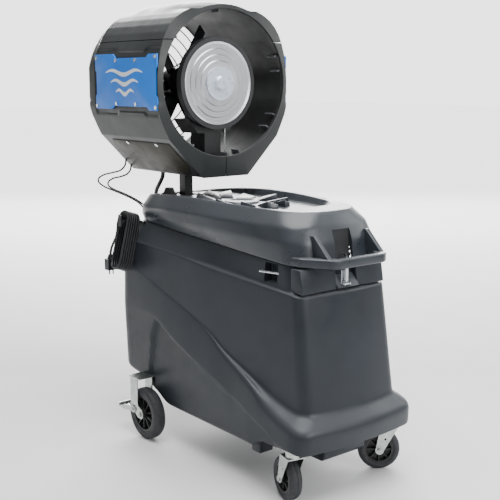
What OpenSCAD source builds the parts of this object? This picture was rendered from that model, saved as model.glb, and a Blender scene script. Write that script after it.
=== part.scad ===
// Mobile evaporative cooler: a fan head on a mast over a wheeled water tank, in millimetres.
// X is across the cart, -Y is the front with the handle and the air outlet, +Z is up, the floor is z = 0.

/* [Cart] */
// Height of the water tank's rim at mid length
rim_z = 806; // [796:1:812]
// Half width of the tank's rim at the front
rim_half_w = 188; // [182:1:192]
// Wall thickness of the tank and the lid
wall = 7; // [5:0.5:9]
// Half width of the bumper at the front corners
bumper_half_w = 274; // [268:1:277]
// Depth of the recessed lower side panels
side_recess = 13; // [8:1:16]

/* [Lid] */
// Height of the lid's sharp shoulder line above the floor
lid_crease_z = 900; // [890:1:905]
// Height of the lid's top rim above the floor
lid_top_z = 955; // [945:1:960]
// Depth of the recessed deck below the top rim
deck_depth = 34; // [24:1:38]

/* [Head] */
// Height of the fan's axis above the floor
fan_z = 1358; // [1350:1:1364]
// Radius of the head at its front rim
drum_r = 286; // [280:1:290]
// How far the barrel of the head swells between its rims
drum_swell = 19; // [14:1:22]
// Radius of the front opening
mouth_r = 270; // [262:1:272]
// Thickness of the head's shell
shell_t = 6; // [4:0.5:8]
// Radius of the stepped atomiser disc
disc_r = 154; // [140:1:160]
// Number of fan blades
blade_count = 6; // [4:1:9]

/* [Mast] */
// Width of the square mast tube
mast_w = 38; // [36:1:40]
// Distance of the mast's axis behind the middle of the cart
mast_y = 380; // [378:1:384]

/* [Wheels] */
// Radius of the rear wheels
rear_r = 100; // [96:1:100]
// Width of the rear tyres
rear_w = 47; // [40:1:47]
// Radius of the front caster wheels
front_r = 75; // [70:1:75]
// Width of the front tyres
front_w = 46; // [38:1:46]
// Trail of the front casters
trail = 38; // [32:1:40]
// Swivel angle at which the left front caster stands
left_swivel = -15; // [-40:1:40]
// Swivel angle at which the right front caster stands
right_swivel = 51; // [-60:1:60]

/* [Cords] */
// Diameter of the mains lead
cord_d = 10; // [8:1:10]
// Diameter of the two cables to the head
cable_d = 7; // [6:0.5:8]
// Diameter of the water hose to the head
hose_d = 16; // [14:1:18]

/* [Hidden] */
$fn = 64;

charcoal = [0.27, 0.28, 0.30];
black = [0.10, 0.10, 0.11];
zinc = [0.66, 0.68, 0.68];
silver = [0.80, 0.80, 0.81];
blue = [0.02, 0.48, 0.82];

clear = 0.05;                     // radial running clearance of every bearing

// Head, along the fan's axis
drum_y0 = 112;
drum_y1 = 612;
flat_z = 1013;                    // underside of the head
facet_reach = 452;                // |x| plus depth below the axis along the 45 degree facets
side_stretch = 1.035;             // the head is a little wider than tall
side_x = 299;                     // flat sides of the head, under the side panels
cap_z = 1512;                     // seam between the head's lower shells and its top cap
shaft_r = 9;

// Wheels
rear_x = 284.5;
rear_y = 253;
caster_x = 230;
caster_y = -535;
caster_top = 190;
front_rim_r = 50;
rear_rim_r = 68;

// Hinge of the lid, on the rear wall
hinge_y = 462;
hinge_z = 826;
pin_r = 4;

// Fan head and cable ports on the back of the tank
port_y = 498;
port_z = 822;

// ---------- helpers ----------

module along_y(y0, y1, x = 0, z = 0) {
    translate([x, y0, z]) rotate([-90, 0, 0]) linear_extrude(y1 - y0) mirror([0, 1]) children();
}

module along_x(x0, x1) {
    translate([x0, 0, 0]) rotate([90, 0, 90]) linear_extrude(x1 - x0) children();
}

module turned_y(x = 0, z = 0) {
    translate([x, 0, z]) rotate([-90, 0, 0]) rotate_extrude($fn = 96) children();
}

module rod(a, b, r) {
    d = b - a;
    translate(a) rotate([0, acos(d.z / norm(d)), atan2(d.y, d.x)]) cylinder(r = r, h = norm(d), $fn = 32);
}

module box(a, b) {
    translate(a) cube(b - a);
}

// A quadratic arc from a to b with its corner at c
function arc(a, c, b, n) = [for (i = [0:n]) let (t = i / n) (1 - t) * (1 - t) * a + 2 * t * (1 - t) * c + t * t * b];

function smooth(a, b, t) = let (u = min(1, max(0, (t - a) / (b - a)))) u * u * (3 - 2 * u);

// Rings of a moulded body run from its top down. A ring is [front y, rear y, sagitta of the front, front corner radius,
// rear corner radius, half widths over y, heights over y].
stations = [-380, -250, -105, 60, 200, 310];

function front_y(r, x, w) = r[0] - r[2] * (1 - pow(x / w, 2));

function half_plan(r) =
    let (wf = lookup(r[0], r[5]), wc = lookup(r[0] + r[3], r[5]), wr = lookup(r[1], r[5]), wq = lookup(r[1] - r[4], r[5]))
    concat(
        [for (i = [0:1]) let (x = (wf - r[3]) * i / 2) [x, front_y(r, x, wf)]],
        arc([wf - r[3], front_y(r, wf - r[3], wf)], [wf, r[0]], [wc, r[0] + r[3]], 4),
        [for (y = stations) [lookup(y, r[5]), y]],
        arc([wq, r[1] - r[4]], [wr, r[1]], [wr - r[4], r[1]], 3));

function ring(r) = let (h = half_plan(r), n = len(h))
    [for (p = concat(h, [for (i = [n - 1:-1:1]) [-h[i].x, h[i].y]])) [p.x, p.y, lookup(p.y, r[6])]];

// Faces across a ring of n points from its right side to its left, seen clockwise from above
function across(n) = concat([[0, n - 1, 1]],
    [for (i = [1:(n - 3) / 2]) each [[i, n - i, n - i - 1], [i, n - i - 1, i + 1]]]);
function flipped(f) = [f[2], f[1], f[0]];

module loft(rings) {
    pts = [for (r = rings) ring(r)];
    n = len(pts[0]);
    m = len(pts);
    polyhedron(points = [for (q = pts) each q], convexity = 8, faces = concat(
        across(n),
        [for (f = across(n)) flipped(f) + (m - 1) * n * [1, 1, 1]],
        [for (j = [0:m - 2], i = [0:n - 1]) let (k = (i + 1) % n) each
            [[j * n + i, (j + 1) * n + k, (j + 1) * n + i], [j * n + i, j * n + k, (j + 1) * n + k]]]));
}

// ---------- tank ----------

function grown(list, d) = [for (p = list) [p.x, p.y + d]];

rim_heights = [[-520, rim_z - 34], [480, rim_z + 31]];
ledge_heights = [[-515, 688], [-115, 720], [100, 741], [480, 764]];
crescent_top = [[-620, 294], [-511, 308], [-407, 337], [-299, 380], [-172, 438], [-78, 495], [200, 600], [480, 690]];
crescent_low = [[-660, 246], [-580, 262], [-454, 296], [-323, 369], [-172, 434], [-78, 491], [200, 590], [480, 680]];
swoosh = [[-600, 196], [-552, 208], [-478, 217], [-348, 262], [-210, 310], [-63, 361], [93, 420], [250, 492], [480, 500]];

neck_w = [[-515, rim_half_w], [100, rim_half_w + 10], [480, rim_half_w + 12]];
neck_low_w = [[-515, rim_half_w + 4], [-100, 212], [60, 232], [480, 243]];
ledge_w = [[-540, 200], [-300, 214], [-100, 226], [60, 237], [480, 247]];
waist_w = [[-600, 214], [-400, 222], [-78, 238], [200, 250], [480, 256]];
bumper_w = [[-660, bumper_half_w - 8], [-560, bumper_half_w - 6], [-400, 256], [-230, 246], [-78, 242], [200, 252], [480, 257]];
skirt_w = [[-660, bumper_half_w - 4], [-560, bumper_half_w], [-400, 265], [-230, 258], [-78, 258], [480, 260]];

module tank_outside() {
    loft([
        [-484, 458, 12, 60, 130, neck_w, rim_heights],
        [-496, 468, 10, 40, 84, neck_low_w, ledge_heights],
        [-524, 473, 16, 36, 66, ledge_w, grown(ledge_heights, -5)],
        [-575, 478, 22, 44, 60, waist_w, crescent_top],
        [-612, 479, 28, 52, 60, bumper_w, crescent_low],
        [-606, 480, 24, 54, 60, skirt_w, swoosh],
        [-546, 480, 24, 80, 60, grown(skirt_w, -6), [[-600, 150], [480, 150]]],
        [-522, 480, 18, 90, 60, grown(skirt_w, -16), [[-600, 96], [480, 96]]]]);
}

module tank_inside() {
    loft([
        [-474, 448, 12, 52, 122, grown(neck_w, -wall), grown(rim_heights, 2)],
        [-480, 450, 12, 52, 112, grown(neck_w, -wall), grown(ledge_heights, 10)],
        [-500, 460, 20, 56, 58, grown(ledge_w, -2 * wall), grown(ledge_heights, -20)],
        [-548, 466, 30, 80, 52, grown(waist_w, -2 * wall), grown(crescent_top, 8)],
        [-548, 466, 24, 80, 52, [[-660, 214], [480, 228]], [[-600, 222], [0, 250], [480, 300]]],
        [-530, 462, 20, 80, 52, [[-660, 208], [480, 224]], [[-600, 200], [-330, 200], [-300, 172], [190, 178], [250, 252], [480, 262]]]]);
}

// Side view outline of everything that the moulded underside keeps
module underside_profile() {
    polygon([[-700, 176], [-405, 172], [-330, 140], [165, 143], [235, 172], [336, 208], [372, 220], [424, 228],
        [482, 242], [700, 242], [700, 900], [-700, 900]]);
}

module belly_profile() {
    polygon([[-560, 104], [-350, 104], [-320, 128], [-320, 260], [-560, 260]]);
}

module side_panel_cut(s) {
    // the lower side panel lies deeper than the swoosh above it
    mirror([s < 0 ? 1 : 0, 0, 0]) translate([260 - side_recess, 0, 0]) rotate([0, 0, 1.2])
        rotate([90, 0, 90]) linear_extrude(60)
            polygon([[-470, 0], [-470, 214], [-348, 258], [-210, 306], [-63, 357], [93, 416], [225, 476],
                [262, 400], [300, 190], [300, 0]]);
}

module tank() color(charcoal) difference() {
    union() {
        intersection() {
            tank_outside();
            union() {
                along_x(-300, 300) underside_profile();
                along_x(-100, 100) belly_profile();
            }
        }
        // latch bay cheeks under the front of the lid
        intersection() {
            union() {
                box([-190, -527, 688], [-34, -470, 771]);
                box([60, -522, 688], [188, -470, 771]);
            }
            along_x(-300, 300) polygon([[-530, 680], [-512, 781], [-460, 790], [-460, 680]]);
        }
        // moulded feet under the sides
        for (x = [-205, 205]) box([x - 30, -372, 118], [x + 30, -326, 150]);
    }
    difference() {
        tank_inside();
        // deck and socket that carry the mast at the back
        box([-280, 318, 700], [280, 520, 800]);
        box([-62, mast_y - 45, 560], [62, 520, 720]);
        // boss that the drain plug screws into
        translate([0, 440, 290]) rotate([-90, 0, 0]) cylinder(r = 26, h = 60);
    }
    for (s = [-1, 1]) side_panel_cut(s);
    // pockets for the front casters and the rear brackets
    for (s = [-1, 1]) {
        box([s * caster_x - 29, caster_y - 42, 90], [s * caster_x + 29, caster_y + 42, caster_top]);
        translate([s * caster_x, caster_y, 90]) cylinder(r = 40, h = 90);
        box([s * 275 - 50, 252, 90], [s * 275 + 50, 338, 240]);
    }
    // side notch with the steel rod
    box([-240, -410, 712], [-160, -346, 774]);
    // socket for the mast and the boss for the drain
    translate([-mast_w / 2, mast_y - mast_w / 2, 600]) cube([mast_w, mast_w, 300]);
    translate([0, 430, 290]) rotate([-90, 0, 0]) cylinder(r = 14, h = 100);
    // passage for the riser pipe
    translate([-60, 310, 730]) rotate([-90, 0, 0]) cylinder(r = 10, h = 190);
    // ledge that the lid's rear edge and hinge stand over
    box([-120, 450, 800], [120, 500, 860]);
}

module drain_plug() color(black) translate([0, 0, 290]) {
    translate([0, 452, 0]) rotate([-90, 0, 0]) cylinder(r = 14, h = 30);
    translate([0, 480, 0]) rotate([-90, 0, 0]) cylinder(r = 22, h = 8, $fn = 12);
    translate([0, 488, 0]) rotate([-90, 0, 0]) cylinder(r = 12, h = 8);
}

// ---------- lid ----------

lid_low_w = [[-500, 192], [-370, 198], [-200, 203], [100, 206], [300, 204], [480, 200]];
lid_mid_w = [[-500, 190], [-370, 206], [-285, 216], [-35, 234], [150, 236], [300, 222], [480, 204]];
lid_crease_w = [[-500, 182], [-455, 186], [-370, 193], [-285, 210], [-35, 237], [150, 238], [300, 220], [480, 198]];
lid_rim_w = [[-500, 140], [-455, 150], [-370, 163], [-285, 182], [-35, 212], [150, 214], [300, 196], [480, 172]];

lid_rim_heights = [[-500, lid_top_z - 12], [60, lid_top_z], [300, lid_top_z - 12], [480, lid_top_z - 34]];
lid_crease_heights = [[-500, lid_crease_z], [100, lid_crease_z], [480, lid_crease_z - 12]];

module lid_outside() {
    loft([
        [-440, 440, 26, 90, 120, grown(lid_rim_w, -5), grown(lid_rim_heights, 0)],
        [-446, 444, 28, 90, 120, lid_rim_w, grown(lid_rim_heights, -7)],
        [-470, 456, 28, 80, 130, lid_crease_w, lid_crease_heights],
        [-492, 458, 26, 74, 130, lid_mid_w, [[-500, 850], [480, 862]]],
        [-502, 456, 24, 70, 130, lid_low_w, grown(rim_heights, 3)]]);
}

module lid_inside() {
    loft([
        [-430, 430, 26, 60, 112, grown(lid_rim_w, -4), grown(lid_crease_heights, 4)],
        [-448, 440, 24, 58, 114, grown(lid_low_w, -10), [[-500, 852], [480, 862]]],
        [-456, 444, 20, 56, 116, grown(lid_low_w, -10), grown(rim_heights, -14)]]);
}

module deck_recess() translate([0, 0, lid_top_z - deck_depth]) linear_extrude(60) {
    right = [[118, -322], [150, -290], [168, -150], [182, 0], [184, 150], [172, 300], [110, 400]];
    polygon(concat(right, [for (i = [len(right) - 1:-1:0]) [-right[i].x, right[i].y]]));
}

module handle_outline() {
    difference() {
        polygon([[-190, -450], [-183, -505], [-120, -600], [-100, -610], [100, -610], [120, -600], [183, -505], [190, -450]]);
        polygon([[-128, -520], [-88, -584], [88, -584], [128, -520]]);
    }
}

module lid() color(charcoal) difference() {
    union() {
        lid_outside();
        translate([0, 0, 782]) linear_extrude(26) handle_outline();
        for (s = [-1, 1]) along_x(s * 120 - 8, s * 120 + 8)
            polygon([[-589, 784], [-589, 799], [-511, 874], [-480, 874], [-480, 784]]);
        for (x = [-60, 60]) translate([x - 14, hinge_y, hinge_z]) rotate([0, 90, 0]) cylinder(r = 9, h = 28);
        for (x = [-60, 60]) {
            box([x - 14, 455.5, hinge_z], [x + 14, hinge_y + 9, hinge_z + 24]);
            box([x - 14, 442, hinge_z + 14], [x + 14, hinge_y + 9, hinge_z + 24]);
        }
    }
    lid_inside();
    deck_recess();
    // opening round the mast, long enough for the lid to swing past it
    box([-30, 318, 800], [30, 408, 1000]);
    // pocket behind the latch
    along_x(-42, 42) polygon([[-560, 770], [-560, 888], [-498, 884], [-504, 770]]);
    // bore of the hinge
    translate([-100, hinge_y, hinge_z]) rotate([0, 90, 0]) cylinder(r = pin_r + clear, h = 200);
    // seat of the filler cap
    translate([-100, 352, 800]) cylinder(r = 20, h = 200);
    translate([-100, 352, 919]) cylinder(r = 32, h = 40);
}

module lid_hinge() color(zinc) {
    translate([-93, hinge_y, hinge_z]) rotate([0, 90, 0]) cylinder(r = pin_r, h = 186);
    for (x = [-93, -44, 26, 75]) {
        translate([x, hinge_y, hinge_z]) rotate([0, 90, 0]) cylinder(r = 9, h = 18);
        box([x, hinge_y + 3, 800], [x + 18, 473, hinge_z]);
    }
    box([-95, 472, 740], [95, 478.5, 808]);
}

module fill_cap() color(black) translate([-100, 352, 0]) {
    translate([0, 0, 914]) cylinder(r = 19.9, h = 20);
    translate([0, 0, 919.4]) cylinder(r = 30, h = 16);
    translate([0, 0, 935]) cylinder(r1 = 24, r2 = 16, h = 20, $fn = 48);
}

// ---------- latch ----------

latch_y = -534;
latch_z = 708;

module latch_base() color(zinc) difference() {
    union() {
        box([-16, -526, 698], [16, -522, 752]);
        for (x = [-14, 10]) along_x(x, x + 4) union() {
            translate([latch_y, latch_z]) circle(r = 8);
            translate([latch_y, latch_z - 8]) square([12, 16]);
        }
    }
    translate([-30, latch_y, latch_z]) rotate([0, 90, 0]) cylinder(r = 3 + clear, h = 60);
}

module latch() color(silver) {
    translate([-18, latch_y, latch_z]) rotate([0, 90, 0]) cylinder(r = 3, h = 36);
    translate([-9.5, latch_y, latch_z]) rotate([0, 90, 0]) cylinder(r = 6, h = 19);
    rod([0, latch_y, latch_z], [0, latch_y, 806], 3);
    translate([0, latch_y, 716]) cylinder(r = 6.5, h = 44);
    box([-12, latch_y - 5, 800], [12, latch_y + 5, 812]);
}

module side_rod() color(silver) {
    rod([-186, -424, 745], [-208, -336, 745], 4);
}

// ---------- inside the tank ----------

module pump() color(black) translate([-60, 60, 0]) {
    difference() {
        translate([0, 0, 178.5]) cylinder(r = 58, h = 46);
        translate([0, 0, 183]) cylinder(r = 50, h = 36);
        for (a = [0:30:150]) rotate([0, 0, a]) box([-70, -3, 190], [70, 3, 212]);
    }
    translate([0, 0, 224]) cylinder(r = 46, h = 68);
    translate([0, 0, 292]) cylinder(r = 22, h = 24);
    // riser pipe, its elbow and its run to the fitting at the back
    translate([0, 0, 316]) cylinder(r = 10, h = 406);
    box([-13, -13, 716], [13, 13, 744]);
    translate([0, 12, 730]) rotate([-90, 0, 0]) cylinder(r = 10, h = 428);
}

module mast_base() color(black) difference() {
    box([-55, 325, 800], [55, 435, 806]);
    box([-mast_w / 2, mast_y - mast_w / 2, 790], [mast_w / 2, mast_y + mast_w / 2, 820]);
}

module mast() color(black) {
    difference() {
        box([-mast_w / 2, mast_y - mast_w / 2, 600], [mast_w / 2, mast_y + mast_w / 2, 1000]);
        box([-mast_w / 2 + 3, mast_y - mast_w / 2 + 3, 590], [mast_w / 2 - 3, mast_y + mast_w / 2 - 3, 990]);
    }
    translate([0, mast_y, 1000]) cylinder(r = 15, h = 44);
}

// ---------- rear ports ----------

module junction_box() color(black) difference() {
    union() {
        box([-138, 478.5, 690], [-20, 540, 800]);
        for (x = [-112, -88]) translate([x, port_y + 6, 800]) cylinder(r = 8, h = port_z - 800);
    }
    box([-134, 484, 694], [-24, 536, 796]);
    for (x = [-112, -88]) translate([x, port_y + 6, 780]) cylinder(r = cable_d / 2, h = 60);
    translate([-60, 470, 730]) rotate([-90, 0, 0]) cylinder(r = 10, h = 30);
    translate([-60, port_y, 780]) cylinder(r = 9, h = 60);
    // window of the rocker switch
    box([-52, 530, 730], [-32, 545, 760]);
}

module rocker_switch() color("firebrick") {
    along_x(-51, -33) polygon([[532, 732], [540, 733], [542, 745], [545, 758], [532, 758]]);
}

module hose_fitting() color(silver) {
    translate([-60, port_y, 742]) cylinder(r = 9, h = 88);
    translate([-60, port_y, 812]) cylinder(r = 12, h = 6, $fn = 6);
}

module cord_bracket() color(black) {
    // arm that the wound lead hangs over, on the side of the tank's neck
    box([-208, 372, 780], [-198, 440, 829]);
    box([-292, 400, 824], [-206, 412, 836]);
    box([-297, 396, 814], [-292, 416, 858]);
}

module cord_gland() color(black) {
    translate([-132, 479.5, 700]) rotate([-90, 0, 0]) cylinder(r = 14, h = 8, $fn = 6);
    translate([-132, 487.5, 700]) rotate([-90, 0, 0]) cylinder(r = 10, h = 10);
}

// ---------- casters ----------

module front_place(s) {
    translate([s * caster_x, caster_y, 0]) rotate([0, 0, s < 0 ? left_swivel : right_swivel]) children();
}

module caster_plate(s) color(zinc) {
    translate([s * caster_x, caster_y, 0]) {
        difference() {
            box([-28, -40, caster_top - 4], [28, 40, caster_top]);
            for (x = [-19, 19], y = [-30, 30]) translate([x, y, 180]) cylinder(r = 4, h = 20);
        }
        translate([0, 0, 175]) cylinder(r = 27, h = 11);
        translate([0, 0, 152.5]) cylinder(r = 8, h = 24);
        translate([0, 0, 152.5]) cylinder(r = 12, h = 4.5, $fn = 6);
    }
}

module caster_fork(s) color(zinc) front_place(s) difference() {
    union() {
        box([-31, -26, 158], [31, 36, 162]);
        translate([0, 0, 162]) cylinder(r = 26, h = 12);
        for (x = [-31, 28]) along_x(x, x + 3) difference() {
            union() {
                polygon([[-26, 162], [36, 162], [trail + 14, 78], [trail - 13, 70]]);
                translate([trail, front_r]) circle(r = 15);
            }
            translate([trail - 20, front_r + 42]) circle(r = 4);
        }
    }
    translate([0, 0, 150]) cylinder(r = 8 + clear, h = 40);
    translate([-50, trail, front_r]) rotate([0, 90, 0]) cylinder(r = 5, h = 100);
}

module caster_axle(s) color(zinc) front_place(s) translate([0, trail, front_r]) rotate([0, 90, 0]) {
    translate([0, 0, -38]) cylinder(r = 5, h = 76);
    for (z = [-37, 31]) translate([0, 0, z]) cylinder(r = 9, h = 6, $fn = 6);
}

// Rim with spokes between hub and felly, along X
module rim(r, w, bore, hub, count) {
    difference() {
        union() {
            translate([-w / 2, 0, 0]) rotate([0, 90, 0]) cylinder(r = hub, h = w);
            translate([-3, 0, 0]) rotate([0, 90, 0]) cylinder(r = r - 2, h = 6);
            difference() {
                translate([-w / 2 + 3, 0, 0]) rotate([0, 90, 0]) cylinder(r = r, h = w - 6);
                translate([-w, 0, 0]) rotate([0, 90, 0]) cylinder(r = r - 6, h = 2 * w);
            }
            for (a = [0:360 / count:359]) rotate([a, 0, 0]) box([-w / 2 + 6, -2, hub - 2], [w / 2 - 6, 2, r - 4]);
        }
        translate([-w, 0, 0]) rotate([0, 90, 0]) cylinder(r = bore, h = 2 * w);
    }
}

module tyre(r, w, inner) {
    rotate([0, 90, 0]) rotate_extrude($fn = 96) polygon([
        [inner, -w / 2 + 3], [inner + 5, -w / 2 + 1], [r - 14, -w / 2], [r - 5, -w / 2 + 4], [r - 1, -w / 2 + 11],
        [r, -4], [r - 2, -2], [r - 2, 2], [r, 4],
        [r - 1, w / 2 - 11], [r - 5, w / 2 - 4], [r - 14, w / 2], [inner + 5, w / 2 - 1], [inner, w / 2 - 3]]);
}

module front_rim(s) color(black) front_place(s) translate([0, trail, front_r])
    rim(front_rim_r, front_w, 5 + clear, 15, 8);

module front_tyre(s) color([0.2, 0.2, 0.22]) front_place(s) translate([0, trail, front_r])
    tyre(front_r, front_w, front_rim_r);

module rear_place(s) {
    mirror([s < 0 ? 1 : 0, 0, 0]) translate([rear_x, 0, 0]) children();
}

module rear_bracket(s) color(zinc) rear_place(s) difference() {
    union() {
        box([-45, 258, 236], [33.5, 332, 240]);
        for (x = [-36.5, 30.5]) along_x(x, x + 3) union() {
            polygon([[270, 238], [320, 238], [320, 120], [268, 82], [238, 92], [240, 118], [270, 132]]);
            translate([rear_y, rear_r]) circle(r = 18);
        }
        translate([33, 297, 112]) rotate([0, 90, 0]) cylinder(r = 6, h = 12);
    }
    translate([-60, rear_y, rear_r]) rotate([0, 90, 0]) cylinder(r = 6, h = 120);
}

module rear_axle(s) color(zinc) rear_place(s) translate([0, rear_y, rear_r]) rotate([0, 90, 0]) {
    translate([0, 0, -38.5]) cylinder(r = 6, h = 80);
    translate([0, 0, 33.5]) cylinder(r = 10, h = 7, $fn = 6);
}

module rear_rim(s) color(black) rear_place(s) translate([0, rear_y, rear_r])
    rim(rear_rim_r, rear_w, 6 + clear, 18, 10);

module rear_tyre(s) color([0.2, 0.2, 0.22]) rear_place(s) translate([0, rear_y, rear_r])
    tyre(rear_r, rear_w, rear_rim_r);

module rear_pedal(s) color(zinc) rear_place(s) difference() {
    union() {
        translate([34.5, 0, 0]) along_x(0, 5) union() {
            polygon([[288, 104], [297, 126], [366, 112], [378, 100], [366, 94]]);
            translate([297, 112]) circle(r = 14);
        }
        box([-22, 364, 95], [38, 404, 101]);
        box([-22, 400, 95], [38, 404, 110]);
    }
    translate([0, 297, 112]) rotate([0, 90, 0]) cylinder(r = 6 + clear, h = 80);
}

// ---------- head ----------

// Profile of the drum from front to back, as [y, radius], grown by d
function drum_profile(d) = [
    [drum_y0, drum_r - 2 + d], [drum_y0 + 8, drum_r + d], [drum_y0 + 90, drum_r + drum_swell * 0.7 + d],
    [drum_y0 + 200, drum_r + drum_swell + d], [drum_y0 + 320, drum_r + drum_swell + d],
    [drum_y0 + 430, drum_r + drum_swell * 0.75 + d], [drum_y1 - 8, drum_r + 8 + d], [drum_y1, drum_r + 4 + d]];

module drum(d, y0, y1) {
    intersection() {
        scale([side_stretch, 1, 1]) turned_y(0, fan_z) polygon(concat([[0, drum_y0]], [for (p = drum_profile(d)) [p.y, p.x]], [[0, drum_y1]]));
        box([-side_x - d, y0, 900], [side_x + d, y1, 1800]);
    }
}

// Section of the flat base with its 45 degree facets, shrunk by d
module base_section(d) {
    z0 = flat_z + d;
    reach = facet_reach - d * sqrt(2);
    x0 = reach - (fan_z - z0);
    right = [[x0, z0], [252 - d, fan_z - reach + 252 - d], [272 - d, fan_z - 160], [290 - d, fan_z - 122],
        [side_x - d, fan_z - 92], [side_x - d, fan_z - 70]];
    polygon(concat(right, [for (i = [len(right) - 1:-1:0]) [-right[i].x, right[i].y]]));
}

// Squared outline of the head above the facets, shrunk by d
module crown_section(d) {
    right = [[150, 264], [185, 250], [215, 232], [240, 208], [260, 180], [274, 150], [287, 108], [296, 58], [299, 12],
        [299, -34], [292, -84], [277, -131], [252, -181]];
    polygon(concat([for (p = right) [p.x - d, fan_z + p.y - d / 2]],
        [for (i = [len(right) - 1:-1:0]) [d - right[i].x, fan_z + right[i].y - d / 2]]));
}

module drum_solid(d) {
    drum(d, drum_y0, drum_y1);
    along_y(drum_y0 + 3, drum_y1 - 14) base_section(0);
    along_y(drum_y0 + 1, drum_y1 - 50) crown_section(-d);
    // raised lip round the front edge
    along_y(drum_y0 + 1, drum_y0 + 7) crown_section(-d - 3);
}

module drum_hollow() {
    drum(-shell_t - 1, drum_y0 + 16, drum_y1 - 10);
    along_y(drum_y0 + 16, drum_y1 - 20) base_section(shell_t);
    scale([side_stretch, 1, 1]) translate([0, drum_y0 - 20, fan_z]) rotate([-90, 0, 0]) cylinder(r = mouth_r, h = 100, $fn = 96);
    translate([0, drum_y1 - 100, fan_z]) rotate([-90, 0, 0]) cylinder(r = 278, h = 140, $fn = 96);
}

// Stiffening ribs inside the mouth, at these angles above the +X axis
module mouth_ribs(angles) {
    scale([side_stretch, 1, 1]) for (a = angles) translate([0, 0, fan_z]) rotate([0, -a, 0])
        box([mouth_r - 10, drum_y0 + 15, -2.5], [drum_r - shell_t + 4, drum_y0 + 60, 2.5]);
}

module shell_half(s) color([0.24, 0.25, 0.25]) {
    difference() {
        drum_solid(0);
        drum_hollow();
        mirror([s < 0 ? 0 : 1, 0, 0]) box([-0.8, 0, 900], [400, 800, 1800]);
        box([-400, 0, cap_z - 1], [400, 800, 1800]);
        translate([0, mast_y, 1000]) cylinder(r = 34, h = 30);
        // ways for the cables and the hose, in the left half
        if (s < 0) {
            translate([-150, 588, 1020]) cylinder(r = 10, h = 60);
            translate([-126, 588, 1000]) cylinder(r = 10, h = 60);
            translate([-96, 400, 1000]) cylinder(r = 12, h = 40);
        }
    }
    mouth_ribs(s < 0 ? [158, 182, 206, 230] : [22, -2, -26, -50]);
}

module shell_top() color([0.26, 0.27, 0.27]) {
    difference() {
        drum_solid(3);
        drum_hollow();
        box([-400, 0, 900], [400, 800, cap_z]);
    }
    mouth_ribs([46, 68, 90, 112, 134]);
}

// Outline of a side panel in y and z, with stepped edges
module panel_outline() {
    polygon([[120, 1462], [176, 1462], [192, 1450], [400, 1450], [418, 1466], [550, 1466], [550, 1408], [542, 1398],
        [542, 1318], [550, 1308], [550, 1262], [430, 1262], [414, 1274], [192, 1274], [176, 1262], [120, 1262],
        [120, 1306], [128, 1316], [128, 1408], [120, 1418]]);
}

module side_panel(s) color(blue) mirror([s < 0 ? 1 : 0, 0, 0]) along_x(side_x, side_x + 3) panel_outline();

module head_screws() color(silver) {
    for (s = [0, 1]) mirror([s, 0, 0]) {
        for (y = [130, 262, 396, 538], top = [0, 1])
            translate([side_x + 3, y, y > 200 && y < 500 ? (top ? 1441 : 1283) : (top ? 1452 : 1273)])
                rotate([0, 90, 0]) cylinder(r = 7, h = 3.5, $fn = 24);
        // screws of the 45 degree facets
        for (y = [240, 440]) translate([228, y, fan_z - facet_reach + 228]) rotate([0, 135, 0]) cylinder(r = 8, h = 4, $fn = 24);
    }
}

module shell_latch() color(silver) {
    box([-12, drum_y0 + 18, flat_z + 6.5], [12, drum_y0 + 24, flat_z + 46]);
    box([-18, drum_y0 + 18, flat_z + 20], [18, drum_y0 + 28, flat_z + 30]);
}

// height of the guard's cone over its outer end, at radius r
function guard_rise(r) = 28 * (1 - r / 280);

module rear_guard() color(black) {
    for (r = [40:36:256]) turned_y(0, fan_z) translate([r - 2, drum_y1 - 10 + guard_rise(r)]) square(4);
    for (a = [0:30:330]) translate([0, 0, fan_z]) rotate([0, a, 0]) translate([0, 0, -2.5]) linear_extrude(5)
        polygon([[0, drum_y1 - 12 + guard_rise(0)], [280, drum_y1 - 12], [280, drum_y1 - 8],
            [0, drum_y1 - 8 + guard_rise(0)]]);
    translate([0, drum_y1 - 4, fan_z]) rotate([-90, 0, 0]) cylinder(r = 24, h = 32);
}

module head_frame() color(black) {
    difference() {
        box([-100, 170, flat_z + shell_t], [100, 560, flat_z + shell_t + 5]);
        translate([0, mast_y, 1000]) cylinder(r = 30.5, h = 60);
        translate([-96, 400, 1000]) cylinder(r = 12, h = 60);
    }
    // pedestal and cradle of the motor
    box([-38, 200, flat_z + shell_t + 5], [38, 290, 1172]);
    along_y(196, 300) polygon([[-72, 1172], [72, 1172], [112, 1226], [60, 1226], [60, 1300], [-60, 1300], [-60, 1226], [-112, 1226]]);
}

module motor() color([0.16, 0.17, 0.18]) difference() {
    union() {
        translate([0, 205, fan_z]) rotate([-90, 0, 0]) cylinder(r = 57.9, h = 130);
        translate([0, 195, fan_z]) rotate([-90, 0, 0]) cylinder(r = 34, h = 10);
        box([-50, 210, 1300.2], [50, 290, 1340]);
    }
    translate([0, 100, fan_z]) rotate([-90, 0, 0]) cylinder(r = shaft_r + clear, h = 400);
}

// y of the thin tube between the slinger and the motor
feed_y = 191.5;

module feed_tube() color(silver) {
    rod([52, feed_y, flat_z + shell_t + 5], [52, feed_y, fan_z - 60], 2.8);
    translate([52, feed_y, fan_z - 60]) rotate([0, -37.9, 0]) translate([0, 0, -4]) cylinder(r = 2.8, h = 46);
    translate([52, feed_y, fan_z - 60]) rotate([90, 0, 0]) translate([0, 0, -2.8]) cylinder(r = 5, h = 5.6);
}

module pan_collar() color(zinc) difference() {
    union() {
        translate([0, mast_y, 1003]) cylinder(r = 30, h = 34);
        translate([0, mast_y, flat_z + shell_t + 5]) cylinder(r = 44, h = 5);
    }
    translate([0, mast_y, 990]) cylinder(r = 15 + clear, h = 80);
}

// ---------- rotor ----------

module shaft() color(silver) translate([0, 146, fan_z]) rotate([-90, 0, 0]) cylinder(r = shaft_r, h = 330);

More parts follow.
